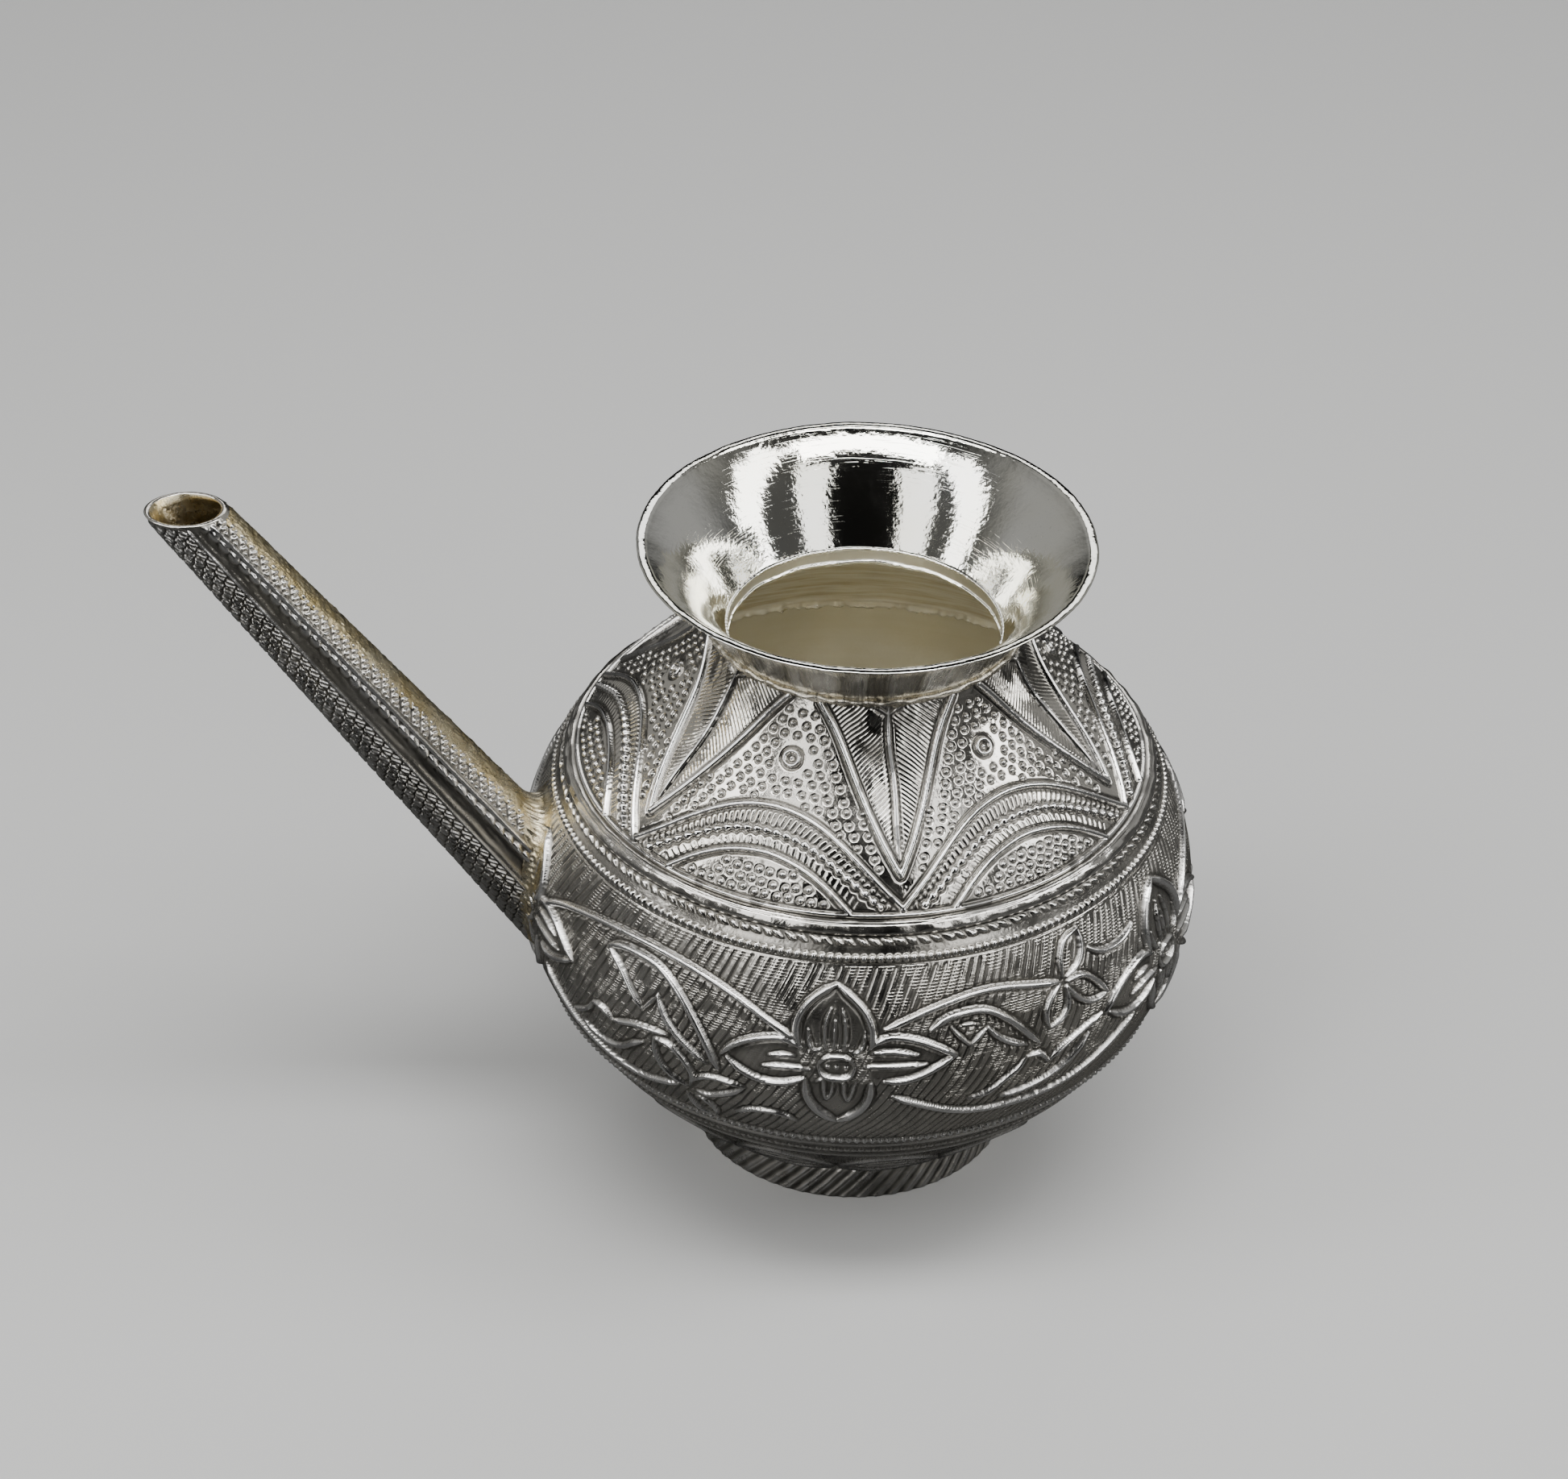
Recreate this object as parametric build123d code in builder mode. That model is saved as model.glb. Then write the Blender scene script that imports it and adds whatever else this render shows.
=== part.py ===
from build123d import *
from math import cos, radians, sin, tan
import os

# ---------------------------------------------------------------- driving dimensions, mm
# belly: (radius, height) points of the outer wall, from the bottom centre up to the neck
BELLY = [
    (0.0, 1.2), (14.0, 2.2), (20.6, 4.6), (25.8, 9.0), (30.9, 14.0), (36.1, 20.0),
    (40.2, 26.0), (42.9, 32.0), (44.0, 38.0), (43.6, 44.0), (41.8, 50.0), (38.6, 56.0),
    (34.2, 62.0), (29.4, 67.0), (25.2, 71.0), (22.2, 74.6), (19.9, 79.2),
]
SHEET = 0.6                # wall of the raised belly halves
SEAM_Z = 56.0              # height where bowl and shoulder meet
OVERSHOOT = 8.0            # how far cutting tools run past what they cut

# foot ring
FOOT_BOTTOM_R = 21.4       # outer radius on the table
FOOT_TOP_R = 20.9          # outer radius where the ring meets the bowl
FOOT_WALL = 1.2
FOOT_DRAW_H = 6.0          # drawn taller than needed, then cut by the bowl

# belt over the seam: height on the wall and section radius of its three raised courses
BELT_BAND_Z = 57.75        # smooth convex band
BELT_BAND_R = 1.0
BELT_ROPE_Z = 56.3         # narrow rope ridge
BELT_ROPE_R = 0.62
BELT_BEAD_Z = 54.6         # beaded ridge
BELT_BEAD_R = 0.72
BELT_WEB = 0.35            # thickness of the strip between the courses
BELT_LOW_Z = 54.0
BELT_HIGH_Z = 58.4

# flared mouth
MOUTH_SHEET = 0.6
THROAT_R = 18.1            # outer radius of the short straight throat
THROAT_Z = 75.9            # lower lip, inside the shoulder
THROAT_H = 1.6
NECK_R = 19.45             # outer radius where the mouth passes through the collar
NECK_Z = 79.2
FLARE_MID_R = 22.7         # half way up the flare
FLARE_MID_Z = 84.4
RIM_R = 29.0
RIM_Z = 89.8               # rim filed level at this height
RIM_SLOPE = 30.0           # degrees above horizontal at the rim

# solder bead in the corner between collar and mouth
NECK_BEAD_R = 0.75

# spout: round tapered tube, straight, leaving the belly towards -X
SPOUT_ROOT = (-43.7, 0.0, 43.0)
SPOUT_RISE = 54.2          # degrees above horizontal
SPOUT_ROOT_R = 6.4
SPOUT_TIP_R = 4.1
SPOUT_LENGTH = 69.6        # along the axis, root point to mouth centre
SPOUT_SHEET = 0.55
SPOUT_INNER_RUN = 13.5     # how far the drawn tube starts behind the root point

# solder web around the spout root, sections in planes parallel to YZ
WEB_INNER_X = -40.5
WEB_OUTER_X = -47.5
WEB_GROWTH_Z = 2.4
WEB_GROWTH_Y = 1.8

# solder seam along the top of the spout
SEAM_WIDTH = 2.6
SEAM_PROUD = 0.22

# ---------------------------------------------------------------- derived values
RIM_RUN = (cos(radians(RIM_SLOPE)), sin(radians(RIM_SLOPE)))
MOUTH = [
    (THROAT_R, THROAT_Z + THROAT_H), (NECK_R, NECK_Z),
    (FLARE_MID_R, FLARE_MID_Z), (RIM_R, RIM_Z),
]
SPOUT_TAPER = (SPOUT_ROOT_R - SPOUT_TIP_R) / SPOUT_LENGTH
SPOUT_DRAW_L = SPOUT_INNER_RUN + SPOUT_LENGTH + OVERSHOOT
SPOUT_MOUTH_Z = SPOUT_ROOT[2] + SPOUT_LENGTH * sin(radians(SPOUT_RISE))
SPOUT_DIR = (-cos(radians(SPOUT_RISE)), 0, sin(radians(SPOUT_RISE)))
SPOUT_PLANE = Plane(origin=SPOUT_ROOT, x_dir=(0, 1, 0), z_dir=SPOUT_DIR)


def inset_points(curve, points, inset):
    """The points a section curve passes through, moved inward, square to the curve."""
    moved = []
    for point in points:
        slope = curve.tangent_at(curve.param_at_point(Vector(*point)))
        moved.append((point[0] - slope.Y * inset, point[1] + slope.X * inset))
    return moved


def wall_radius(height):
    """Outer radius of the belly at a height above its widest point."""
    curve = Spline(*BELLY, mode=Mode.PRIVATE)
    low, high = 0.0, 1.0
    for _ in range(40):
        middle = (low + high) / 2
        if curve.position_at(middle).Y < height:
            low = middle
        else:
            high = middle
    return curve.position_at(low).X


def revolve_belly(inset=0.0, extra=0.0, mode=Mode.ADD):
    """Solid of revolution inside the belly wall, optionally drawn on above the neck."""
    wall = Spline(*BELLY, mode=Mode.PRIVATE)
    points = inset_points(wall, BELLY, inset) if inset else list(BELLY)
    points[0] = (0.0, BELLY[0][1] + inset)
    top_r, top_z = points[-1]
    closing = [points[-1], (top_r, top_z + extra)] if extra else [points[-1]]
    with BuildSketch(Plane.XZ) as half_section:
        with BuildLine():
            Spline(*points)
            Polyline(*closing, (0, top_z + extra), points[0])
        make_face()
    revolve(half_section.sketch, axis=Axis.Z, mode=mode)


def revolve_mouth(inset=0.0, extra=0.0, mode=Mode.ADD):
    """Plug that fills the flared mouth from its throat lip to past the rim."""
    underside = Spline(*MOUTH, tangents=((0, 1), RIM_RUN), mode=Mode.PRIVATE)
    points = inset_points(underside, MOUTH, inset)
    end = (points[-1][0] + OVERSHOOT * RIM_RUN[0], points[-1][1] + OVERSHOOT * RIM_RUN[1])
    floor_z = THROAT_Z - extra
    with BuildSketch(Plane.XZ) as half_section:
        with BuildLine():
            Spline(*points, tangents=((0, 1), RIM_RUN))
            Polyline(points[-1], end, (0, end[1]), (0, floor_z), (points[0][0], floor_z), points[0])
        make_face()
    revolve(half_section.sketch, axis=Axis.Z, mode=mode)


def spout_cone(inset=0.0, mode=Mode.ADD):
    """The long tapered plug of the spout, thinner by the inset all round."""
    start_r = SPOUT_ROOT_R + SPOUT_TAPER * SPOUT_INNER_RUN - inset
    with Locations(SPOUT_PLANE.offset(-SPOUT_INNER_RUN)):
        Cone(
            start_r, start_r - SPOUT_TAPER * SPOUT_DRAW_L, SPOUT_DRAW_L,
            align=(Align.CENTER, Align.CENTER, Align.MIN), mode=mode,
        )


def web_section(x, growth_y, growth_z):
    """Oval cut of the spout in a plane at x, grown by the given amounts."""
    along = (SPOUT_ROOT[0] - x) / cos(radians(SPOUT_RISE))
    radius = SPOUT_ROOT_R - SPOUT_TAPER * along
    height = SPOUT_ROOT[2] + (SPOUT_ROOT[0] - x) * tan(radians(SPOUT_RISE))
    with BuildSketch(Plane(origin=(x, 0, height), x_dir=(0, -1, 0), z_dir=(-1, 0, 0))) as oval:
        Ellipse(radius + growth_y, radius / cos(radians(SPOUT_RISE)) + growth_z)
    return oval.sketch


# ---------------------------------------------------------------- lower bowl, closed at the bottom
with BuildPart() as lower_bowl:
    revolve_belly()
    revolve_belly(inset=SHEET, extra=OVERSHOOT, mode=Mode.SUBTRACT)
    split(bisect_by=Plane.XY.offset(SEAM_Z), keep=Keep.BOTTOM)
    spout_cone(inset=SPOUT_SHEET, mode=Mode.SUBTRACT)
lower_bowl.part.label = "lower_bowl"

# ---------------------------------------------------------------- shoulder dome with its collar
with BuildPart() as shoulder_shell:
    revolve_belly()
    revolve_belly(inset=SHEET, extra=OVERSHOOT, mode=Mode.SUBTRACT)
    split(bisect_by=Plane.XY.offset(SEAM_Z), keep=Keep.TOP)
    revolve_mouth(mode=Mode.SUBTRACT)
shoulder_shell.part.label = "shoulder_shell"

# ---------------------------------------------------------------- belt covering the seam
with BuildPart() as belt_band:
    with BuildSketch(Plane.XZ) as belt_section:
        with Locations((wall_radius(BELT_BAND_Z), BELT_BAND_Z)):
            Circle(BELT_BAND_R)
        with Locations((wall_radius(BELT_ROPE_Z), BELT_ROPE_Z)):
            Circle(BELT_ROPE_R)
        with Locations((wall_radius(BELT_BEAD_Z), BELT_BEAD_Z)):
            Circle(BELT_BEAD_R)
        with BuildLine():
            Polyline(
                (wall_radius(BELT_LOW_Z) - BELT_WEB, BELT_LOW_Z),
                (wall_radius(BELT_LOW_Z) + BELT_WEB, BELT_LOW_Z),
                (wall_radius(BELT_HIGH_Z) + BELT_WEB, BELT_HIGH_Z),
                (wall_radius(BELT_HIGH_Z) - BELT_WEB, BELT_HIGH_Z),
                close=True,
            )
        make_face()
    revolve(axis=Axis.Z)
    revolve_belly(mode=Mode.SUBTRACT)
belt_band.part.label = "belt_band"

# ---------------------------------------------------------------- flared mouth with its throat lip
with BuildPart() as flared_mouth:
    revolve_mouth()
    revolve_mouth(inset=MOUTH_SHEET, extra=OVERSHOOT, mode=Mode.SUBTRACT)
    split(bisect_by=Plane.XY.offset(RIM_Z), keep=Keep.BOTTOM)
flared_mouth.part.label = "flared_mouth"

# ---------------------------------------------------------------- solder bead at the neck
with BuildPart() as neck_solder:
    with BuildSketch(Plane.XZ):
        with Locations((NECK_R + SHEET, NECK_Z + SHEET / 2)):
            Circle(NECK_BEAD_R)
    revolve(axis=Axis.Z)
    revolve_belly(mode=Mode.SUBTRACT)
    revolve_mouth(mode=Mode.SUBTRACT)
neck_solder.part.label = "neck_solder"

# ---------------------------------------------------------------- foot ring
with BuildPart() as foot_ring:
    with BuildSketch(Plane.XZ):
        with BuildLine():
            Polyline(
                (FOOT_BOTTOM_R, 0), (FOOT_TOP_R, FOOT_DRAW_H),
                (FOOT_TOP_R - FOOT_WALL, FOOT_DRAW_H), (FOOT_BOTTOM_R - FOOT_WALL, 0),
                close=True,
            )
        make_face()
    revolve(axis=Axis.Z)
    revolve_belly(mode=Mode.SUBTRACT)
foot_ring.part.label = "foot_ring"

# ---------------------------------------------------------------- spout tube with its level mouth
with BuildPart() as spout_tube:
    spout_cone()
    spout_cone(inset=SPOUT_SHEET, mode=Mode.SUBTRACT)
    split(bisect_by=Plane.XY.offset(SPOUT_MOUTH_Z), keep=Keep.BOTTOM)
    revolve_belly(mode=Mode.SUBTRACT)
spout_tube.part.label = "spout_tube"

# ---------------------------------------------------------------- solder web around the spout root
with BuildPart() as spout_solder:
    loft([web_section(WEB_INNER_X, WEB_GROWTH_Y, WEB_GROWTH_Z), web_section(WEB_OUTER_X, 0, 0)])
    spout_cone(mode=Mode.SUBTRACT)
    revolve_belly(mode=Mode.SUBTRACT)
spout_solder.part.label = "spout_solder"

# ---------------------------------------------------------------- solder seam along the spout's top
with BuildPart() as spout_seam:
    spout_cone(inset=-SEAM_PROUD)
    with Locations(SPOUT_PLANE.offset(SPOUT_DRAW_L / 2)):
        Box(
            SEAM_WIDTH, 2 * SPOUT_ROOT_R, SPOUT_DRAW_L,
            align=(Align.CENTER, Align.MAX, Align.CENTER), mode=Mode.INTERSECT,
        )
    spout_cone(mode=Mode.SUBTRACT)
    split(bisect_by=Plane.XY.offset(SPOUT_MOUTH_Z), keep=Keep.BOTTOM)
    revolve_belly(mode=Mode.SUBTRACT)
    add(spout_solder.part, mode=Mode.SUBTRACT)
spout_seam.part.label = "spout_seam"

# ---------------------------------------------------------------- export, one file per piece
os.makedirs("parts", exist_ok=True)
export_step(lower_bowl.part, "parts/lower_bowl.step")
export_step(shoulder_shell.part, "parts/shoulder_shell.step")
export_step(belt_band.part, "parts/belt_band.step")
export_step(flared_mouth.part, "parts/flared_mouth.step")
export_step(neck_solder.part, "parts/neck_solder.step")
export_step(foot_ring.part, "parts/foot_ring.step")
export_step(spout_tube.part, "parts/spout_tube.step")
export_step(spout_solder.part, "parts/spout_solder.step")
export_step(spout_seam.part, "parts/spout_seam.step")
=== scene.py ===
import bmesh
import bpy
import numpy as np
from mathutils import Matrix, Vector


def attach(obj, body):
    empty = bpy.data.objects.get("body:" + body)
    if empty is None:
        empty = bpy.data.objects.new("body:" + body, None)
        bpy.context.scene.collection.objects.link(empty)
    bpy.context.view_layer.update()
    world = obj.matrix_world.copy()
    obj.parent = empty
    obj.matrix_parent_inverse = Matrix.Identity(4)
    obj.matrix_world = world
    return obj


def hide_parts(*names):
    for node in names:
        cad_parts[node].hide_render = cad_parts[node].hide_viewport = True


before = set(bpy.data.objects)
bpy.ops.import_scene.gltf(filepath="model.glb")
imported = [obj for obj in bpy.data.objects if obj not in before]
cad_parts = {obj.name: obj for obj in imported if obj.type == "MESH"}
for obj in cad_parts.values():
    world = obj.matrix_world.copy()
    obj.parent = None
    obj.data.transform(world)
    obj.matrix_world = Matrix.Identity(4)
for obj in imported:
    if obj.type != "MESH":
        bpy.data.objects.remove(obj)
scene = bpy.context.scene
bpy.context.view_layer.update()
MM = 0.001
DEG = np.pi / 180
TURN = 2 * np.pi
rng = np.random.default_rng(7)

# ------------------------------------------------------------ the pot's own dimensions, mm
BELLY = [
    (0.0, 1.2), (14.0, 2.2), (20.6, 4.6), (25.8, 9.0), (30.9, 14.0), (36.1, 20.0),
    (40.2, 26.0), (42.9, 32.0), (44.0, 38.0), (43.6, 44.0), (41.8, 50.0), (38.6, 56.0),
    (34.2, 62.0), (29.4, 67.0), (25.2, 71.0), (22.2, 74.6), (19.9, 79.2),
]
SHEET = 0.6
SEAM_Z = 56.0
FOOT_BOTTOM_R, FOOT_TOP_R, FOOT_WALL = 21.4, 20.9, 1.2
THROAT_R, THROAT_Z, THROAT_H = 18.1, 75.9, 1.6
NECK_R, NECK_Z = 19.45, 79.2
RIM_R, RIM_Z = 29.0, 89.8
ROOT = np.array([-43.7, 0.0, 43.0])
RISE = 54.2 * DEG
ROOT_R, TIP_R, LENGTH = 6.4, 4.1, 69.6
SPOUT_SHEET = 0.55
AXIS = np.array([-np.cos(RISE), 0, np.sin(RISE)])
TAPER = (ROOT_R - TIP_R) / LENGTH
MOUTH_Z = ROOT[2] + LENGTH * np.sin(RISE)
INNER_RUN = 13.5               # how far inside the belly the spout's line still counts
PATTERN_R = 40.0               # radius at which the belly's patterns are laid out
FLARE_RISE = 30 * DEG          # slope of the flare at its rim

# detail: FINE of 2 halves it, for quicker runs
FINE = 1
COLUMNS = 1720 // FINE
CELL = 0.16 * FINE

# ------------------------------------------------------------ curves


def spline(points, per_span=24, ends=(None, None)):
    """Smooth curve through points, by chord length; ends may fix the end directions."""
    p = np.array(points, float)
    t = np.concatenate([[0], np.cumsum(np.hypot(*np.diff(p, axis=0).T))])
    n = len(p)
    gap = np.diff(t)
    system = np.zeros((n, n))
    right = np.zeros((n, 2))
    for i in range(1, n - 1):
        system[i, i - 1:i + 2] = gap[i - 1], 2 * (gap[i - 1] + gap[i]), gap[i]
        right[i] = 6 * ((p[i + 1] - p[i]) / gap[i] - (p[i] - p[i - 1]) / gap[i - 1])
    system[0, 0] = system[-1, -1] = 1
    if ends[0] is not None:
        system[0, :2] = 2 * gap[0], gap[0]
        right[0] = 6 * ((p[1] - p[0]) / gap[0] - np.array(ends[0]))
    if ends[1] is not None:
        system[-1, -2:] = gap[-1], 2 * gap[-1]
        right[-1] = 6 * (np.array(ends[1]) - (p[-1] - p[-2]) / gap[-1])
    bend = np.linalg.solve(system, right)
    out = []
    for i in range(n - 1):
        u = np.linspace(0, gap[i], per_span, endpoint=False)[:, None]
        v = gap[i] - u
        out.append(
            (bend[i] * v**3 + bend[i + 1] * u**3) / (6 * gap[i])
            + (p[i] / gap[i] - bend[i] * gap[i] / 6) * v
            + (p[i + 1] / gap[i] - bend[i + 1] * gap[i] / 6) * u
        )
    out.append(p[-1:])
    return np.concatenate(out)


wall = spline(BELLY, 60)
wall_s = np.concatenate([[0], np.cumsum(np.hypot(*np.diff(wall, axis=0).T))])


def s_at(z):
    """Length up the belly wall, from the bottom centre, at a height."""
    return np.interp(z, wall[:, 1], wall_s)


def wall_at(s):
    """Radius, height and outward normal (radial, vertical) of the belly wall."""
    step = 0.05
    r, z = np.interp(s, wall_s, wall[:, 0]), np.interp(s, wall_s, wall[:, 1])
    dr = np.interp(s + step, wall_s, wall[:, 0]) - np.interp(s - step, wall_s, wall[:, 0])
    dz = np.interp(s + step, wall_s, wall[:, 1]) - np.interp(s - step, wall_s, wall[:, 1])
    size = np.hypot(dr, dz)
    return r, z, dz / size, -dr / size


def step_up(x, low, high):
    """0 below low, 1 above high, smooth between."""
    t = np.clip((x - low) / (high - low), 0, 1)
    return t * t * (3 - 2 * t)


def wavy(x, seed, terms=5, low=1, high=9):
    """A smooth wave round the axis that closes on itself, about -1 to 1."""
    pick = np.random.default_rng(seed)
    out = np.zeros(np.shape(x))
    for k in pick.integers(low, high + 1, terms):
        out = out + np.sin(k * x + pick.uniform(0, TURN)) * pick.uniform(0.4, 1)
    return out / terms


def blotch(phi, s, seed, pitch, terms=14):
    """Soft uneven patches over the wall, about -1 to 1, periodic round the axis."""
    pick = np.random.default_rng(seed)
    out = np.zeros(np.broadcast(phi, s).shape)
    turns = max(2, int(TURN * PATTERN_R / pitch))
    for _ in range(terms):
        k = pick.integers(-turns, turns + 1)
        m = pick.uniform(-1, 1) * TURN / pitch
        out = out + np.cos(k * phi + m * s + pick.uniform(0, TURN))
    return out / np.sqrt(terms)


def hump(x, half, power=2):
    """1 where x is 0, about a third at half, fading smoothly to nothing."""
    return np.exp(-((x / half) ** power))


def in_cell(x):
    """Where x lies in its unit cell, from -0.5 to 0.5."""
    return x - np.floor(x) - 0.5


def bearings(columns):
    """The angles of a ring's columns, as one row."""
    return (np.arange(columns) * TURN / columns)[None, :]


# ------------------------------------------------------------ chased sheet


class Sheet:
    """Relief on a stretch of the belly wall: rows up the wall, columns round the axis."""

    def __init__(self, s_low, s_high, cell, columns):
        rows = int((s_high - s_low) / cell) + 1
        self.s = np.linspace(s_low, s_high, rows)
        self.step = TURN / columns
        self.columns = columns
        self.phi = np.arange(columns) * self.step
        self.r, self.z, _, _ = wall_at(self.s)
        shape = (rows, columns)
        self.crest = np.zeros(shape)
        self.cut = np.zeros(shape)
        self.pad = np.zeros(shape)
        self.ground = np.ones(shape)
        self.texture = np.zeros(shape)
        self.stain = np.zeros(shape)

    def near(self, path, reach):
        """Distance to a line, length along it and side of it, over the cells near it."""
        phi, s = path[:, 0], path[:, 1]
        rows = np.nonzero((self.s > s.min() - reach) & (self.s < s.max() + reach))[0]
        if not len(rows):
            return None
        r = self.r[rows][:, None]
        wide = reach / r.min()
        cols = np.arange(
            int(np.floor((phi.min() - wide) / self.step)),
            int(np.ceil((phi.max() + wide) / self.step)) + 1,
        )
        x, y = (cols * self.step)[None, :], self.s[rows][:, None]
        far = np.full((len(rows), len(cols)), 1e9)
        along, side = np.zeros(far.shape), np.zeros(far.shape)
        done = 0.0
        for k in range(len(path) - 1):
            ax, ay = (x - phi[k]) * r, y - s[k]
            bx, by = (phi[k + 1] - phi[k]) * r, s[k + 1] - s[k]
            u = np.clip((ax * bx + ay * by) / (bx * bx + by * by), 0, 1)
            d = np.hypot(ax - u * bx, ay - u * by)
            size = float(np.hypot(bx, by).mean())
            closer = d < far
            far = np.where(closer, d, far)
            along = np.where(closer, done + u * size, along)
            side = np.where(closer, np.sign(bx * ay - by * ax), side)
            done += size
        return np.ix_(rows, cols % self.columns), far, along, side, done

    def ridge(self, points, width, height, trench=0.26, taper=1.6, beads=None, smooth=True):
        """A raised line; taper is the length of its thin ends, beads a pitch that swells it."""
        found = self.near(self.path(points, smooth), width + 1.2)
        if found is None:
            return
        at, d, t, _, total = found
        ends = np.clip(np.minimum(t, total - t) / taper, 0, 1) if taper else 1.0
        w = width * (0.45 + 0.55 * ends)
        if beads:
            w = w * (0.5 + 0.5 * np.cos(np.pi * t / beads) ** 2)
        crest = height * (0.5 + 0.5 * ends) * np.clip(1 - (d / w) ** 2, 0, 1) ** 0.6
        if beads:
            crest = crest * (0.45 + 0.55 * np.cos(np.pi * t / beads) ** 2)
        self.crest[at] = np.maximum(self.crest[at], crest)
        self.cut[at] = np.maximum(
            self.cut[at], trench * hump(d - w - 0.06, 0.24) * (0.3 + 0.7 * ends)
        )
        self.ground[at] = np.minimum(self.ground[at], step_up(d, w + 0.05, w + 0.4))

    def hoop(self, level, width, height, beads=None):
        """A raised line all the way round at one height."""
        points = [(a, level) for a in np.linspace(-180, 180, 73)]
        self.ridge(points, width, height, taper=0, beads=beads, smooth=False)

    def path(self, points, smooth=True):
        """Places of (degrees, height) points on the wall, as angle and length up the wall."""
        p = np.array(points, float)
        line = np.stack([p[:, 0] * DEG, s_at(p[:, 1])], 1)
        if not smooth or len(line) < 3:
            return line
        scale = np.array([PATTERN_R, 1.0])
        return spline(line * scale, 6) / scale

    def dome(self, phi, s, radius, height, ring=0.0):
        """A round punched dot, with the groove its ring punch leaves."""
        wide = radius * 2.2
        rows = np.nonzero(np.abs(self.s - s) < wide)[0]
        if not len(rows):
            return
        r = self.r[rows][:, None]
        j = int(round(phi / self.step))
        half = int(np.ceil(wide / r.min() / self.step))
        cols = np.arange(j - half, j + half + 1)
        at = np.ix_(rows, cols % self.columns)
        d = np.hypot((cols * self.step - phi)[None, :] * r, self.s[rows][:, None] - s)
        self.crest[at] = np.maximum(
            self.crest[at], height * np.clip(1 - (d / radius) ** 2, 0, 1) ** 0.6
        )
        if ring:
            groove = ring * hump(d - radius * 1.25, radius * 0.38)
            self.cut[at] = np.maximum(self.cut[at], groove)

    def plain(self, points):
        """Smooths and lowers the ground inside a closed outline."""
        sink, hatch, margin = 0.1, 0.12, 0.35
        path = self.path(list(points) + [points[0]], smooth=False)
        found = self.near(path, 0.5)
        if found is None:
            return
        at, d = found[0], found[1]
        rows, cols = at[0][:, 0], at[1][0]
        first = int(np.floor((path[:, 0].min() - 0.5 / self.r[rows].min()) / self.step))
        x = ((first + np.arange(len(cols))) * self.step)[None, :]
        y = self.s[rows][:, None]
        inside = np.zeros(d.shape, bool)
        for (x0, y0), (x1, y1) in zip(path[:-1], path[1:]):
            if y0 == y1:
                continue
            crossing = (y0 > y) != (y1 > y)
            inside ^= crossing & (x < x0 + (y - y0) * (x1 - x0) / (y1 - y0))
        amount = inside * step_up(d, 0.1, margin)
        self.ground[at] = np.minimum(self.ground[at], 1 - amount * (1 - hatch))
        self.pad[at] = np.minimum(self.pad[at], -sink * amount)

    def height(self):
        """How far the finished surface stands out from the wall, mm."""
        bare = 1 - np.clip(self.crest / 0.1, 0, 1)
        return self.pad + self.crest + (self.ground * self.texture - self.cut) * bare


def soften(field, cells):
    """Box blur, twice, wrapping round the axis."""
    out = field
    for _ in range(2):
        pad = np.pad(out, ((cells, cells), (0, 0)), mode="edge")
        total = np.cumsum(np.vstack([np.zeros((1, pad.shape[1])), pad]), axis=0)
        out = (total[2 * cells + 1:] - total[:-(2 * cells + 1)]) / (2 * cells + 1)
        pad = np.concatenate([out[:, -cells:], out, out[:, :cells]], axis=1)
        total = np.cumsum(np.hstack([np.zeros((pad.shape[0], 1)), pad]), axis=1)
        out = (total[:, 2 * cells + 1:] - total[:, :-(2 * cells + 1)]) / (2 * cells + 1)
    return out


def sunken(h, depth=0.13):
    """How much lower than its surroundings each place lies, 0 to 1 at depth mm."""
    return np.clip((soften(h, 5 // FINE + 1) - h) / depth, 0, 1)


# ------------------------------------------------------------ meshes


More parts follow.
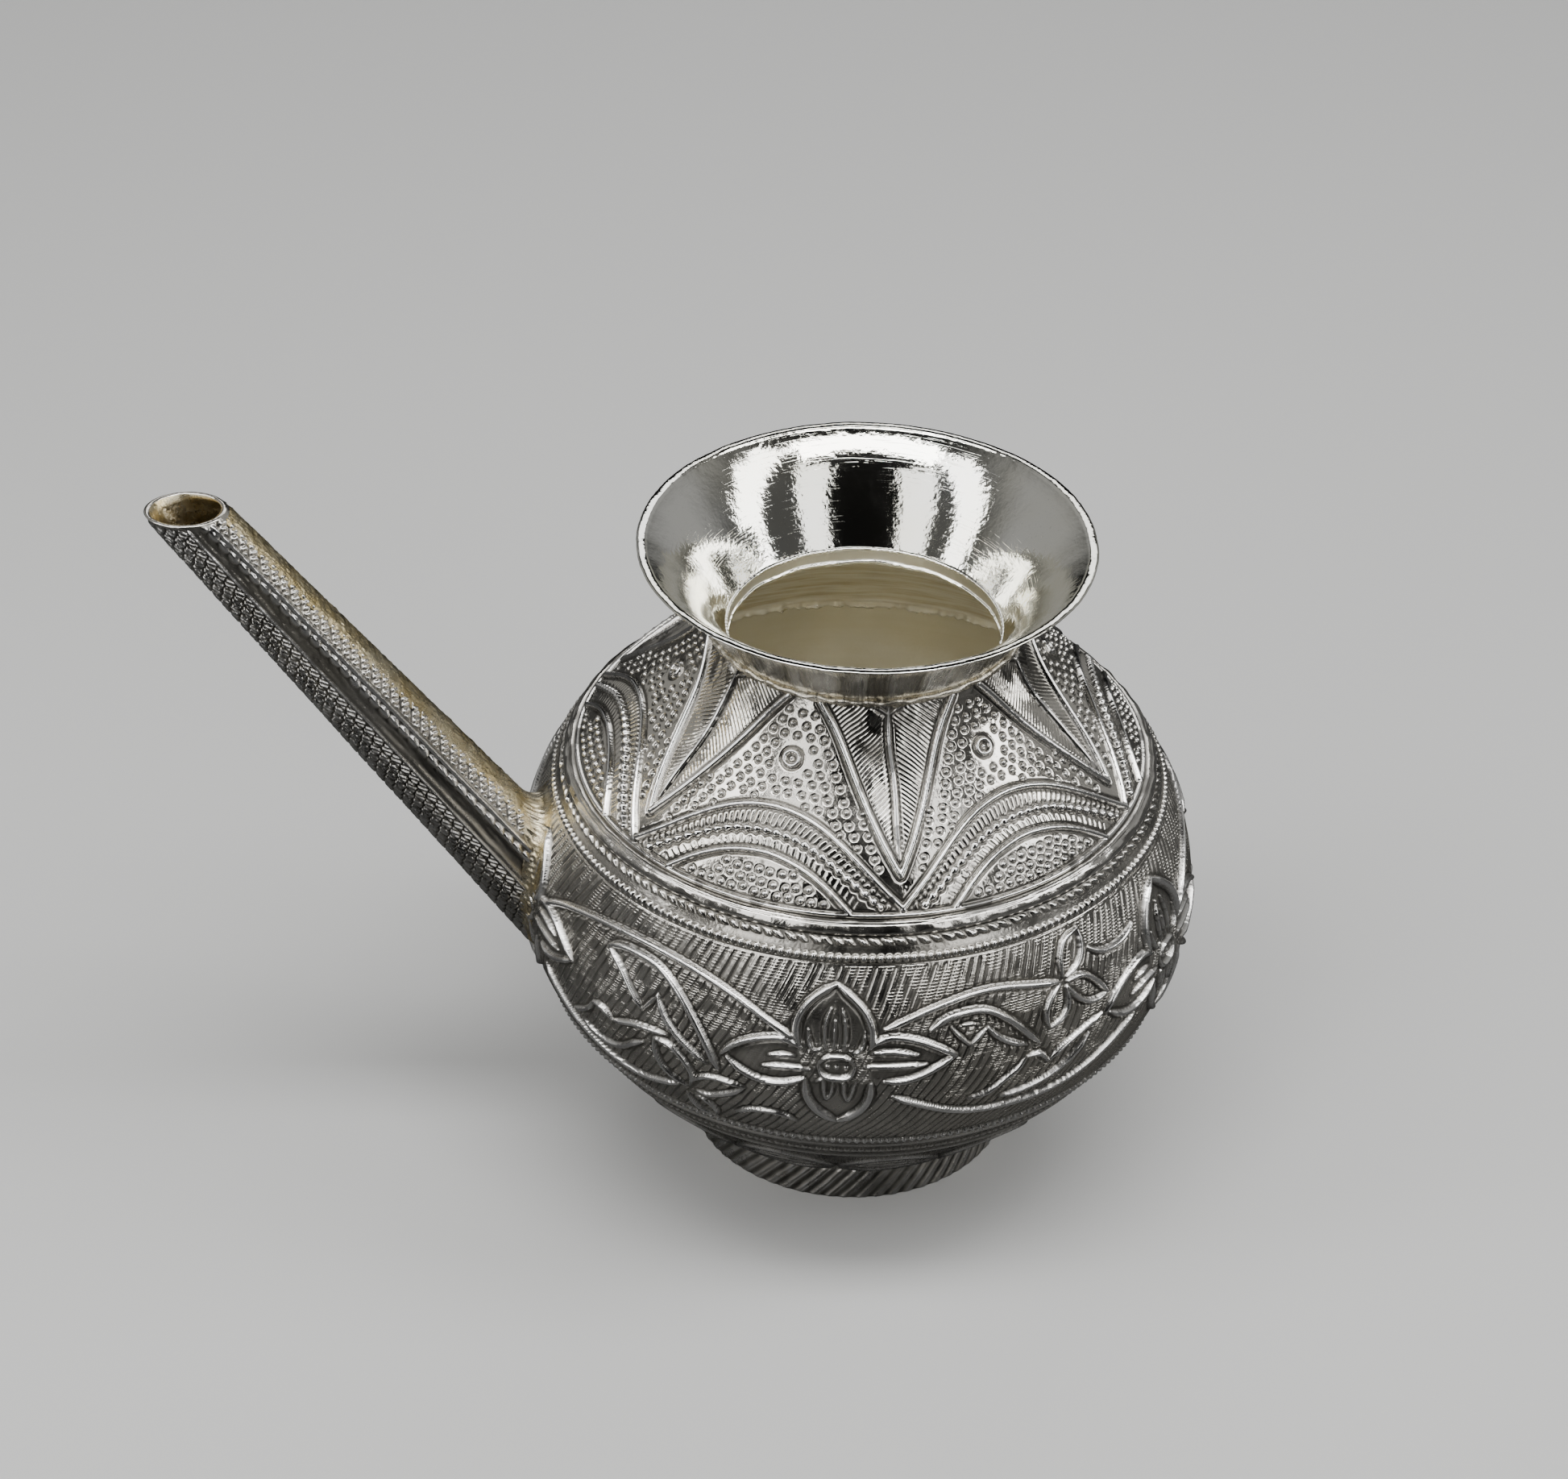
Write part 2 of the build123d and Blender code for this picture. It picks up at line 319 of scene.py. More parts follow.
def grid_mesh(name, points, wrap_rows=False, poles=False, marks=None, across=TURN * PATTERN_R):
    """A smooth mesh, closed round its columns, from (rows, columns, 3) points in mm.
    poles close the first and last rows on a vertex each; marks are layers of numbers on the
    vertices, from the first row on; across is how far round the sheet is, in mm."""
    rows, cols = points.shape[:2]
    verts = points.reshape(-1, 3)
    i = np.arange(rows if wrap_rows else rows - 1)[:, None]
    j = np.arange(cols)[None, :]
    k, m = (i + 1) % rows, (j + 1) % cols
    corners = (i * cols + j, i * cols + m, k * cols + m, k * cols + j)
    quads = np.stack(np.broadcast_arrays(*corners), -1)
    loops = quads.reshape(-1)
    starts = np.arange(0, len(loops), 4)
    gaps = np.sqrt(((np.diff(points[:, 0], axis=0)) ** 2).sum(-1))
    v = np.concatenate([[0], np.cumsum(gaps)])
    total = v[-1]
    v = np.concatenate([v, [total]])
    left, right, low, high = j / cols, (j + 1) / cols, v[:-1][i], v[1:][i]
    corner_uv = ((left, low), (right, low), (right, high), (left, high))
    uv = np.stack([np.stack(np.broadcast_arrays(*pair), -1) for pair in corner_uv], -2).reshape(-1, 2)
    for row in (0, rows - 1) if poles else ():
        a = row * cols + np.arange(cols)
        b = row * cols + (np.arange(cols) + 1) % cols
        tip = np.full(cols, len(verts))
        fan, steps = ([a, b, tip], (0, 1, 0.5)) if row else ([b, a, tip], (1, 0, 0.5))
        fan_uv = [np.stack([np.arange(cols) / cols + x / cols, np.full(cols, v[row])], -1) for x in steps]
        verts = np.vstack([verts, verts[a].mean(0)])
        starts = np.concatenate([starts, len(loops) + np.arange(0, 3 * cols, 3)])
        loops = np.concatenate([loops, np.stack(fan, -1).reshape(-1)])
        uv = np.concatenate([uv, np.stack(fan_uv, 1).reshape(-1, 2)])
    mesh = bpy.data.meshes.new(name)
    mesh.vertices.add(len(verts))
    mesh.vertices.foreach_set("co", (verts * MM).astype(np.float32).ravel())
    mesh.loops.add(len(loops))
    mesh.loops.foreach_set("vertex_index", loops.astype(np.int32))
    mesh.polygons.add(len(starts))
    mesh.polygons.foreach_set("loop_start", starts.astype(np.int32))
    mesh.polygons.foreach_set("use_smooth", np.ones(len(starts), bool))
    mesh.update(calc_edges=True)
    bake = mesh.uv_layers.new(name="OFBake")
    flat = uv.copy()
    flat[:, 1] = 0.002 + 0.996 * flat[:, 1] / max(total, 1e-6)
    bake.data.foreach_set("uv", flat.astype(np.float32).ravel())
    real = mesh.uv_layers.new(name="sheet")
    real.data.foreach_set("uv", (uv * np.array([across, 1.0]) * 0.1).astype(np.float32).ravel())
    for key, layer in (marks or {}).items():
        values = np.zeros(len(verts), np.float32)
        values[:layer.size] = layer.reshape(-1)
        mesh.attributes.new(key, "FLOAT", "POINT").data.foreach_set("value", values)
    mesh.validate()
    obj = bpy.data.objects.new(name, mesh)
    scene.collection.objects.link(obj)
    return obj


def turned(r, z, phi):
    """(rows, columns, 3) points of profile rows turned round the axis."""
    return np.stack(np.broadcast_arrays(r * np.sin(phi), -r * np.cos(phi), z), -1)


def off_wall(s, h, phi):
    """Points standing h out from the belly wall, at lengths s up it."""
    r, z, nr, nz = (column[:, None] for column in wall_at(s))
    return turned(r + nr * h, z + nz * h, phi)


def settle(obj, node, slot, *materials, kinds=None):
    """Puts a finished piece in place of its CAD node; kinds says which material each face has."""
    for material in materials:
        obj.data.materials.append(material)
    if kinds is not None:
        obj.data.polygons.foreach_set("material_index", kinds.astype(np.int32))
    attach(obj, "root")
    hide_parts(node)


# ------------------------------------------------------------ chased motifs: (degrees round, height mm)
PETAL_TOP_L = [(-6.0, 43.9), (-6.6, 46.0), (-5.7, 48.4), (-3.6, 50.2), (-0.2, 51.7)]
PETAL_TOP_R = [(-0.2, 51.7), (2.2, 50.3), (4.6, 48.5), (5.9, 46.0), (5.7, 43.8)]
PETAL_LOW_L = [(-4.8, 38.6), (-4.4, 35.6), (-2.6, 33.2), (0.5, 31.3)]
PETAL_LOW_R = [(0.5, 31.3), (3.6, 33.1), (5.6, 35.8), (5.9, 38.6)]
FLOWER = [
    # (points, half width, height)
    (PETAL_TOP_L, 0.62, 0.5), (PETAL_TOP_R, 0.62, 0.5),
    (PETAL_LOW_L, 0.6, 0.45), (PETAL_LOW_R, 0.6, 0.45),
    ([(-1.6, 43.4), (-1.9, 45.4), (-1.6, 47.6), (-0.9, 48.9)], 0.26, 0.3),
    ([(-0.2, 43.5), (-0.3, 45.4), (-0.2, 47.4)], 0.24, 0.28),
    ([(1.4, 43.4), (1.6, 45.4), (1.3, 47.5), (0.9, 48.8)], 0.26, 0.3),
    ([(-4.6, 46.0), (-4.4, 44.4), (-3.4, 43.2), (-2.2, 43.5)], 0.3, 0.32),
    ([(4.7, 46.0), (4.5, 44.3), (3.4, 43.2), (2.2, 43.5)], 0.3, 0.32),
    ([(-2.7, 41.0), (-2.0, 39.7), (0.3, 39.2), (2.5, 39.7), (3.2, 41.0)], 0.42, 0.42),
    ([(-2.6, 41.3), (-1.4, 42.3), (0.3, 42.5), (2.0, 42.3), (3.1, 41.3)], 0.34, 0.34),
    ([(-3.0, 38.4), (-2.2, 38.9), (-1.7, 37.0), (-1.2, 35.7), (-0.6, 36.6), (-0.3, 38.7)], 0.27, 0.3),
    ([(-0.3, 38.7), (0.5, 38.9), (1.2, 38.6), (1.6, 36.6), (2.2, 35.6), (2.9, 37.0), (3.6, 38.8)], 0.27, 0.3),
    ([(5.8, 44.0), (7.6, 45.0), (10.5, 45.2), (14.0, 44.5), (17.0, 43.3), (19.9, 41.9)], 0.55, 0.48),
    ([(8.0, 38.8), (11.0, 38.8), (14.0, 39.5), (17.0, 40.7), (19.7, 41.9)], 0.5, 0.45),
    ([(6.0, 43.1), (9.5, 43.2), (13.6, 42.5)], 0.42, 0.4),
    ([(4.8, 41.2), (9.5, 41.1), (15.0, 41.1)], 0.42, 0.4),
    ([(-5.6, 43.3), (-8.0, 44.3), (-11.0, 44.2), (-14.0, 43.4), (-16.9, 42.0), (-19.0, 40.2)], 0.55, 0.48),
    ([(-18.0, 39.9), (-15.0, 38.3), (-11.0, 37.5), (-7.2, 38.0), (-4.8, 38.9)], 0.5, 0.45),
    ([(-6.6, 42.0), (-8.6, 42.0), (-10.9, 41.6)], 0.4, 0.38),
    ([(-4.0, 40.3), (-8.0, 40.3), (-11.9, 39.8)], 0.4, 0.38),
]
VINE_A = [
    ([(-74.5, 45.0), (-70.0, 47.0), (-65.0, 48.5), (-55.0, 50.2), (-45.0, 50.7), (-35.0, 49.9),
      (-30.0, 48.9), (-25.0, 47.3), (-20.0, 45.4), (-17.8, 44.6)], 0.52, 0.46),
    ([(-54.5, 47.8), (-52.0, 48.6), (-48.0, 49.0), (-44.0, 48.8), (-40.0, 47.4), (-36.0, 44.6),
      (-33.0, 41.4), (-30.5, 37.5)], 0.6, 0.5),
    ([(-54.3, 47.6), (-51.0, 46.1), (-48.0, 44.1), (-45.2, 42.0)], 0.42, 0.4),
    ([(-45.2, 42.0), (-43.8, 43.6), (-42.5, 45.1)], 0.34, 0.34),
    ([(-42.5, 45.1), (-41.0, 43.0), (-38.0, 40.6), (-35.0, 39.0), (-32.6, 37.9)], 0.48, 0.44),
    ([(-63.0, 34.2), (-60.5, 35.2), (-58.0, 36.8), (-56.6, 38.5)], 0.4, 0.38),
    ([(-56.6, 38.5), (-54.2, 38.7), (-51.8, 37.7)], 0.55, 0.46),
    ([(-51.8, 37.7), (-49.5, 38.4), (-46.5, 39.3), (-43.0, 39.8), (-40.0, 40.1)], 0.45, 0.42),
    ([(-60.5, 33.6), (-57.0, 32.9), (-53.0, 33.0), (-50.0, 34.0), (-47.5, 35.6), (-45.0, 37.0)], 0.48, 0.44),
    ([(-72.3, 36.7), (-69.0, 35.0), (-65.0, 33.0), (-60.0, 31.3), (-55.0, 30.3), (-50.0, 29.9),
      (-46.0, 30.1), (-42.0, 31.0), (-38.6, 31.9)], 0.55, 0.48),
    ([(-42.7, 38.6), (-39.5, 38.6), (-36.8, 37.0), (-35.4, 34.8), (-36.3, 32.6)], 0.46, 0.42),
    ([(-42.7, 38.6), (-42.3, 36.0), (-40.8, 34.0), (-38.5, 32.8), (-36.8, 32.2)], 0.44, 0.4),
    ([(-35.3, 33.8), (-33.5, 35.2), (-30.5, 35.8), (-26.0, 35.4)], 0.44, 0.4),
    ([(-35.2, 31.9), (-32.8, 32.0), (-30.0, 33.0), (-27.2, 34.4), (-26.0, 35.4)], 0.42, 0.38),
    ([(-37.3, 30.6), (-36.5, 28.9), (-34.8, 27.6), (-32.6, 27.2)], 0.42, 0.38),
    ([(-35.6, 31.0), (-33.5, 30.4), (-32.2, 29.0), (-32.4, 27.3)], 0.42, 0.38),
    ([(-28.2, 29.8), (-25.5, 31.2), (-22.0, 31.8), (-19.0, 31.4), (-17.3, 30.4)], 0.42, 0.38),
]
VINE_B = [
    ([(-3.0, 46.3), (0.0, 47.2), (4.0, 48.3), (8.0, 49.1), (13.0, 49.7), (18.0, 49.5),
      (22.0, 48.9), (26.0, 48.2), (28.3, 47.8)], 0.52, 0.46),
    ([(4.5, 45.8), (7.0, 47.0), (10.0, 47.5), (14.0, 47.3), (17.0, 46.0), (20.0, 43.9),
      (22.0, 42.1), (23.6, 40.7)], 0.58, 0.5),
    ([(8.0, 45.9), (9.5, 44.4), (11.3, 42.9)], 0.38, 0.36),
    ([(11.3, 42.9), (12.8, 44.0), (14.3, 45.0)], 0.38, 0.36),
    ([(14.3, 45.0), (15.5, 43.8), (18.0, 42.2), (21.2, 41.0)], 0.46, 0.42),
    ([(9.2, 45.7), (11.0, 45.9), (12.9, 45.5)], 0.26, 0.24),
    ([(29.3, 48.2), (29.4, 50.3), (31.0, 52.2), (34.5, 52.9)], 0.42, 0.4),
    ([(29.9, 48.0), (32.5, 48.8), (34.3, 50.6), (34.5, 52.9)], 0.42, 0.4),
    ([(28.6, 47.5), (26.2, 46.0), (25.2, 44.0), (25.8, 42.2)], 0.42, 0.4),
    ([(29.6, 46.8), (29.7, 44.6), (28.0, 42.8), (25.8, 42.2)], 0.46, 0.42),
    ([(30.0, 47.4), (33.0, 47.4), (36.0, 45.8), (38.6, 43.2)], 0.46, 0.42),
    ([(30.0, 46.8), (32.0, 44.6), (35.0, 43.2), (38.6, 43.2)], 0.42, 0.4),
    ([(35.8, 50.1), (38.0, 49.0), (41.0, 48.5), (44.5, 48.6), (47.5, 49.4)], 0.46, 0.42),
    ([(11.3, 34.3), (14.5, 34.7), (17.5, 36.3), (20.0, 37.7), (21.4, 39.0)], 0.42, 0.4),
    ([(21.4, 39.0), (23.6, 38.9), (25.6, 37.0)], 0.48, 0.42),
    ([(25.6, 37.0), (27.5, 38.0), (30.0, 39.0), (33.5, 39.9), (37.2, 40.5)], 0.45, 0.42),
    ([(17.2, 33.2), (20.5, 33.3), (25.0, 33.9), (29.0, 35.1), (32.0, 36.8), (34.2, 38.6)], 0.46, 0.42),
    ([(-1.6, 36.3), (2.0, 34.9), (6.0, 33.4), (10.0, 32.2), (14.0, 31.5), (18.0, 31.2),
      (23.0, 31.0), (28.0, 31.2), (33.0, 31.9), (37.0, 33.0), (41.0, 34.5), (46.5, 36.3)], 0.52, 0.46),
]
# smooth places in the hatched ground: inside the petals and the flower's heart
FLOWER_PLAIN = [
    PETAL_TOP_L + PETAL_TOP_R[1:],
    PETAL_LOW_L + PETAL_LOW_R[1:],
    [(-2.7, 41.0), (-1.4, 39.4), (2.0, 39.4), (3.2, 41.0), (1.8, 42.4), (-1.4, 42.4)],
    [(5.8, 44.0), (10.5, 45.2), (17.0, 43.3), (19.9, 41.9), (17.0, 40.7), (11.0, 38.8), (5.5, 39.2)],
    [(-5.6, 43.3), (-11.0, 44.2), (-16.9, 42.0), (-19.0, 40.2), (-15.0, 38.3), (-11.0, 37.5), (-5.0, 38.9)],
]
FLOWERS_AT = [-82.5, -11.0, 57.0, 128.5, 203.0]
BEAD_LINE_Z, DOT_LINE_Z, LOW_LINE_Z = 26.3, 22.4, 20.4
HATCH_TURNS = 214          # slanting hatch lines round the bowl
LEAVES_LOW = 14            # long leaves lying round the underside


def placed(strokes, origin, target, stretch=1.0):
    """Strokes moved round the axis: origin goes to target, stretched from there."""
    return [
        ([(target + (a - origin) * stretch, z) for a, z in points], width, height)
        for points, width, height in strokes
    ]


def bowl_relief(sheet):
    """Flowers and vines on slanting hatch, with lines and long leaves below them."""
    phi, s, z = sheet.phi[None, :], sheet.s[:, None], sheet.z[:, None]
    strokes = []
    for centre in FLOWERS_AT:
        strokes += placed(FLOWER, 0.0, centre)
    # each vine keeps the gap it was drawn for, and is stretched to fit the others
    for k, (left, right) in enumerate(zip(FLOWERS_AT, FLOWERS_AT[1:] + [FLOWERS_AT[0] + 360])):
        vine, drawn = (VINE_B, 1) if k % 2 else (VINE_A, 0)
        start, end = FLOWERS_AT[drawn:drawn + 2]
        strokes += placed(vine, start, left, (right - left) / (end - start))
    for points, width, height in strokes:
        sheet.ridge(points, 0.88 * width, 1.25 * height, trench=0.3)
    for centre in FLOWERS_AT:
        for outline in FLOWER_PLAIN:
            sheet.plain([(centre + a, h) for a, h in outline])
        for side in (-1, 0, 1):
            sheet.dome((centre + 0.3 + 1.5 * side) * DEG, s_at(40.9), 0.34, 0.26)
    # ground: slanting hatch, steeper near the top
    lean = np.interp(sheet.z, [20, 36, 44, 54], [34, 32, 24, 19]) * DEG
    slip = np.cumsum(np.tan(lean) / sheet.r * np.gradient(sheet.s))[:, None]
    drift = 0.22 * blotch(phi, s, 3, 16.0) + 0.05 * blotch(phi, s, 4, 5.0)
    part = in_cell((phi - slip) * HATCH_TURNS / TURN + drift)
    strong = 0.75 + 0.3 * blotch(phi, s, 5, 6.0)
    grooves = -0.2 * np.clip(strong, 0.7, 1.3) * hump(part, 0.14)
    grooves += 0.05 * hump(np.abs(part) - 0.28, 0.1)
    reach = step_up(z, BEAD_LINE_Z + 0.5, BEAD_LINE_Z + 1.0) * (1 - step_up(z, 53.4, 53.8))
    sheet.texture += grooves * reach
    # beaded line, plain band, dotted line, long leaves
    sheet.hoop(BEAD_LINE_Z, 0.5, 0.5, beads=1.0)
    sheet.hoop(BEAD_LINE_Z - 1.7, 0.3, 0.22)
    sheet.hoop(DOT_LINE_Z, 0.34, 0.22, beads=0.9)
    sheet.hoop(LOW_LINE_Z, 0.28, 0.2)
    pitch = 360 / LEAVES_LOW
    for k in range(LEAVES_LOW):
        a = -24.0 + pitch * k
        for points, width in (
            ([(a - 12.4, 13.0), (a - 8, 16.4), (a, 18.3), (a + 8, 16.4), (a + 12.4, 13.0)], 0.5),
            ([(a - 12.4, 13.0), (a - 8, 9.8), (a, 8.2), (a + 8, 9.8), (a + 12.4, 13.0)], 0.5),
            ([(a - 9.5, 13.0), (a, 13.4), (a + 9.5, 13.0)], 0.3),
            ([(a - 7.5, 14.4), (a, 15.7), (a + 7.5, 14.4)], 0.25),
            ([(a - 7.5, 11.7), (a, 10.8), (a + 7.5, 11.7)], 0.25),
        ):
            sheet.ridge(points, width, width * 0.75)
    sheet.texture += 0.04 * np.sin(phi * 360) * (1 - step_up(z, 18.8, 19.6))
    sheet.texture -= 0.16 * step_up(z, 53.9, 54.2)


# shoulder: six hanging leaves with an arch between each pair
SECTOR = 60                # degrees taken up by a leaf and an arch
LEAF_AT = 0.8
DOT_PITCH = 1.5            # mm between the dots inside an arch
FIELD_PITCH, FIELD_RISE = 1.72, 1.42    # mm between the dots and the rows of the field
NUDGE = 0.09               # how far dots stray, mm
LEAF_EDGE = [(24.0, 78.7), (18.2, 76.0), (11.9, 72.0), (6.5, 68.0), (2.9, 65.1), (0.0, 62.7)]
ARCH_OUTER = [(30.2, 59.5), (25.0, 62.1), (20.0, 64.3), (15.0, 66.0), (10.0, 67.1), (5.0, 67.7)]
ARCH_SCALLOP = [(25.6, 59.8), (21.0, 61.7), (16.0, 63.4), (10.0, 64.9), (5.0, 65.5)]
ARCH_INNER = [(19.4, 59.2), (16.0, 60.8), (12.0, 62.2), (8.0, 63.1), (4.0, 63.6)]
ARCH_TOPS = (67.9, 65.7, 63.8)
FIELD_TOP_Z = 77.6
BELT_LINE_Z = 58.95
ROSE_Z = 72.3


def arch(half, top, centre):
    """Both sides of an arch round a bearing."""
    left = [(centre - a, z) for a, z in half]
    right = [(centre + a, z) for a, z in reversed(half)]
    return left + [(centre, top)] + right


def shoulder_relief(sheet):
    """Hanging leaves, arches between them, and fields of dots."""
    phi, s, z = sheet.phi[None, :], sheet.s[:, None], sheet.z[:, None]
    leaf_x, leaf_z = zip(*LEAF_EDGE[::-1])
    leaf_half = np.interp(sheet.z, leaf_z, leaf_x)
    inner_x, inner_z = zip(*ARCH_INNER, (0.0, ARCH_TOPS[2]))
    outer_x, outer_z = zip(*ARCH_OUTER[::-1], (40.0, 59.0))
    for c in LEAF_AT + np.arange(0, 360, SECTOR):
        a = c + SECTOR / 2
        for side in (-1, 1):
            sheet.ridge([(c + side * x, h) for x, h in LEAF_EDGE], 0.44, 0.46, taper=0)
            sheet.ridge([(c + side * 6.5, 78.9), (c + side * 3.0, 78.4), (c, 77.7)], 0.26, 0.24)
        sheet.ridge([(c, 78.6), (c - 0.4, 75), (c + 0.3, 71), (c, 67.5), (c, 64.2)], 0.36, 0.36, taper=2.5)
        outer = arch(ARCH_OUTER, ARCH_TOPS[0], a)
        scallop = arch(ARCH_SCALLOP, ARCH_TOPS[1], a)
        inner = arch(ARCH_INNER, ARCH_TOPS[2], a)
        sheet.ridge(outer, 0.4, 0.42, taper=0)
        sheet.ridge(inner, 0.38, 0.4, taper=0)
        sheet.ridge(scallop, 0.56, 0.44, taper=0, beads=1.4)
        # short cuts along the under side of the outer line and the upper side of the inner one
        for line, reach, lean, depth in ((outer, 2.4, -1, 0.17), (inner, 1.8, 1, 0.06)):
            at, d, t, side, _ = sheet.near(sheet.path(line), reach + 0.4)
            inside = (side == lean) * step_up(d, 0.5 - 0.2, 0.5 + 0.1)
            inside = inside * (1 - step_up(d, reach - 0.2, reach + 0.2))
            sheet.texture[at] -= depth * inside * hump(in_cell((t + 0.25 * d) / 0.86), 0.2)
        # dots inside the arch, in level rows
        for row, height in enumerate((60.0, 61.05, 62.1, 63.0)):
            r = float(np.interp(height, sheet.z, sheet.r))
            room = np.interp(height + 0.75, inner_z, inner_x) - 1.0
            pitch = DOT_PITCH / r / DEG
            count = int(room / pitch)
            for n in range(-count, count + 1):
                x = (n + 0.5 * (row % 2)) * pitch
                if abs(x) < room:
                    nudge = rng.normal(0, NUDGE, 2)
                    sheet.dome((a + x) * DEG + nudge[0] / r, s_at(height) + nudge[1], 0.42, 0.3, 0.12)
        # ring-punch field between the leaves, above the arch
        level = s_at(60.0)
        row = 0
        while level < s_at(FIELD_TOP_Z):
            level += FIELD_RISE
            row += 1
            height = float(np.interp(level, wall_s, wall[:, 1]))
            r = float(np.interp(level, wall_s, wall[:, 0]))
            room = SECTOR / 2 - float(np.interp(height, sheet.z, leaf_half)) - 0.95 / r / DEG
            pitch = FIELD_PITCH / r / DEG
            for n in range(-14, 15):
                x = (n + 0.5 * (row % 2)) * pitch
                under = np.interp(abs(x), outer_x, outer_z)
                under = max(under, ARCH_TOPS[0]) if abs(x) < 3 else under
                near_rose = np.hypot(x * DEG * r, level - s_at(ROSE_Z)) < 1.95
                if abs(x) > room or level < s_at(under) + 0.95 or near_rose or height > FIELD_TOP_Z:
                    continue
                nudge = rng.normal(0, NUDGE, 2)
                sheet.dome((a + x) * DEG + nudge[0] / r, level + nudge[1], 0.33, 0.24, 0.17)
        rose = [(a + 2.3 * np.sin(t * TURN), ROSE_Z + 0.7 * np.cos(t * TURN))
                for t in np.linspace(0, 1, 15)]
        sheet.ridge(rose, 0.3, 0.36, taper=0, trench=0.22)
        sheet.dome(a * DEG, s_at(ROSE_Z), 0.32, 0.26)
    # slanting barbs inside the leaves
    off = (phi / DEG - LEAF_AT + SECTOR / 2) % SECTOR - SECTOR / 2
    x = np.abs(off) * DEG * sheet.r[:, None]
    edge = (leaf_half * DEG * sheet.r)[:, None]
    inside = 1 - step_up(x, edge - 1.1, edge - 0.7)
    part = in_cell((s + 0.85 * x + 0.12 * blotch(phi, s, 11, 7.0)) / 0.64)
    weight = np.clip(0.75 + 0.4 * blotch(phi, s, 12, 5.0), 0.2, 1.3)
    sheet.texture += inside * (-0.14 * weight * hump(part, 0.2))
    sheet.hoop(BELT_LINE_Z, 0.32, 0.34)
    sheet.texture -= 0.16 * (1 - step_up(z, 58.3, 58.6))
    # black left in the corners under the neck and at the arches' feet
    top = inside * hump(78.4 - z, 3.0) * hump(x, 4.5)
    feet = hump(z - 59.2, 0.9) * step_up(blotch(phi, s, 13, 9.0), 0.2, 1.2)
    rib = inside * hump(x, 0.7) * step_up(blotch(phi, s, 14, 6.0), 0.0, 0.8)
    where = np.maximum(top, np.maximum(feet, rib))
    sheet.stain = step_up(blotch(phi, s, 15, 2.4, 24) - 1.5 + 2.5 * where, 0, 0.4)


# ------------------------------------------------------------ materials


class Nodes:
    """A node tree, with short calls that add to it."""

    def __init__(self, tree):
        self.tree = tree

    def add(self, kind, *values, **settings):
        """A node with these settings, and these values or links on its first inputs."""
        node = self.tree.nodes.new(kind)
        for key, value in settings.items():
            setattr(node, key, value)
        for socket, value in zip(node.inputs, values):
            self.put(socket, value)
        return node

    def put(self, socket, value):
        if isinstance(value, bpy.types.NodeSocket):
            self.tree.links.new(value, socket)
        else:
            socket.default_value = value

    def math(self, operation, a, b=0.0, clamp=False):
        return self.add("ShaderNodeMath", a, b, operation=operation, use_clamp=clamp).outputs[0]

    def times(self, a, b, clamp=False):
        return self.math("MULTIPLY", a, b, clamp)

    def span(self, value, low, high, to_low=0.0, to_high=1.0, **settings):
        """value's range from low to high, brought to another range."""
        node = self.add("ShaderNodeMapRange", value, low, high, to_low, to_high, **settings)
        return node.outputs[0]

    def mix(self, factor, a, b):
        """Colour a where factor is 0, b where it is 1."""
        node = self.add("ShaderNodeMix", factor, data_type="RGBA")
        self.put(node.inputs[6], a)
        self.put(node.inputs[7], b)
        return node.outputs[2]


class Finish(Nodes):
    """A procedural metal."""

    def __init__(self, name):
        self.mat = bpy.data.materials.new(name)
        self.mat.use_nodes = True
        super().__init__(self.mat.node_tree)
        self.shader = self.tree.nodes["Principled BSDF"]
        self.shader.inputs["Metallic"].default_value = 1.0
        self.spot = self.add("ShaderNodeTexCoord").outputs["Object"]
        self.flat = self.add("ShaderNodeUVMap", uv_map="sheet").outputs["UV"]

    def noise(self, scale, detail=4.0, rough=0.55, stretch=None, flat=False, warp=0.0):
        """Noise in space per metre or, where flat, on the unrolled sheet per centimetre."""
        vector = self.flat if flat else self.spot
        if stretch:
            mapping = self.add("ShaderNodeMapping", vector)
            mapping.inputs["Scale"].default_value = stretch
            vector = mapping.outputs[0]
        node = self.add("ShaderNodeTexNoise", vector)
        for key, value in (("Scale", scale), ("Detail", detail), ("Roughness", rough), ("Distortion", warp)):
            node.inputs[key].default_value = value
        return node.outputs["Fac"]

    def mark(self, name):
        return self.add("ShaderNodeAttribute", attribute_name=name).outputs["Fac"]

    def bump(self, height, distance, strength, under=None):
        node = self.add("ShaderNodeBump", strength, distance)
        self.put(node.inputs["Height"], height)
        if under is not None:
            self.put(node.inputs["Normal"], under)
        return node.outputs["Normal"]

    def done(self, colour, rough, normal):
        self.put(self.shader.inputs["Base Color"], colour)
        self.put(self.shader.inputs["Roughness"], rough)
        self.put(self.shader.inputs["Normal"], normal)
        return self.mat


BRIGHT = (0.67, 0.645, 0.595, 1)
WORN = (0.93, 0.92, 0.90, 1)
# dark colour of the sunken places: tarnish, and painted shade
DULL = (0.026, 0.025, 0.022, 1)
WARM = (0.62, 0.53, 0.33, 1)
WHITE_INSIDE = (0.985, 0.965, 0.885, 1)


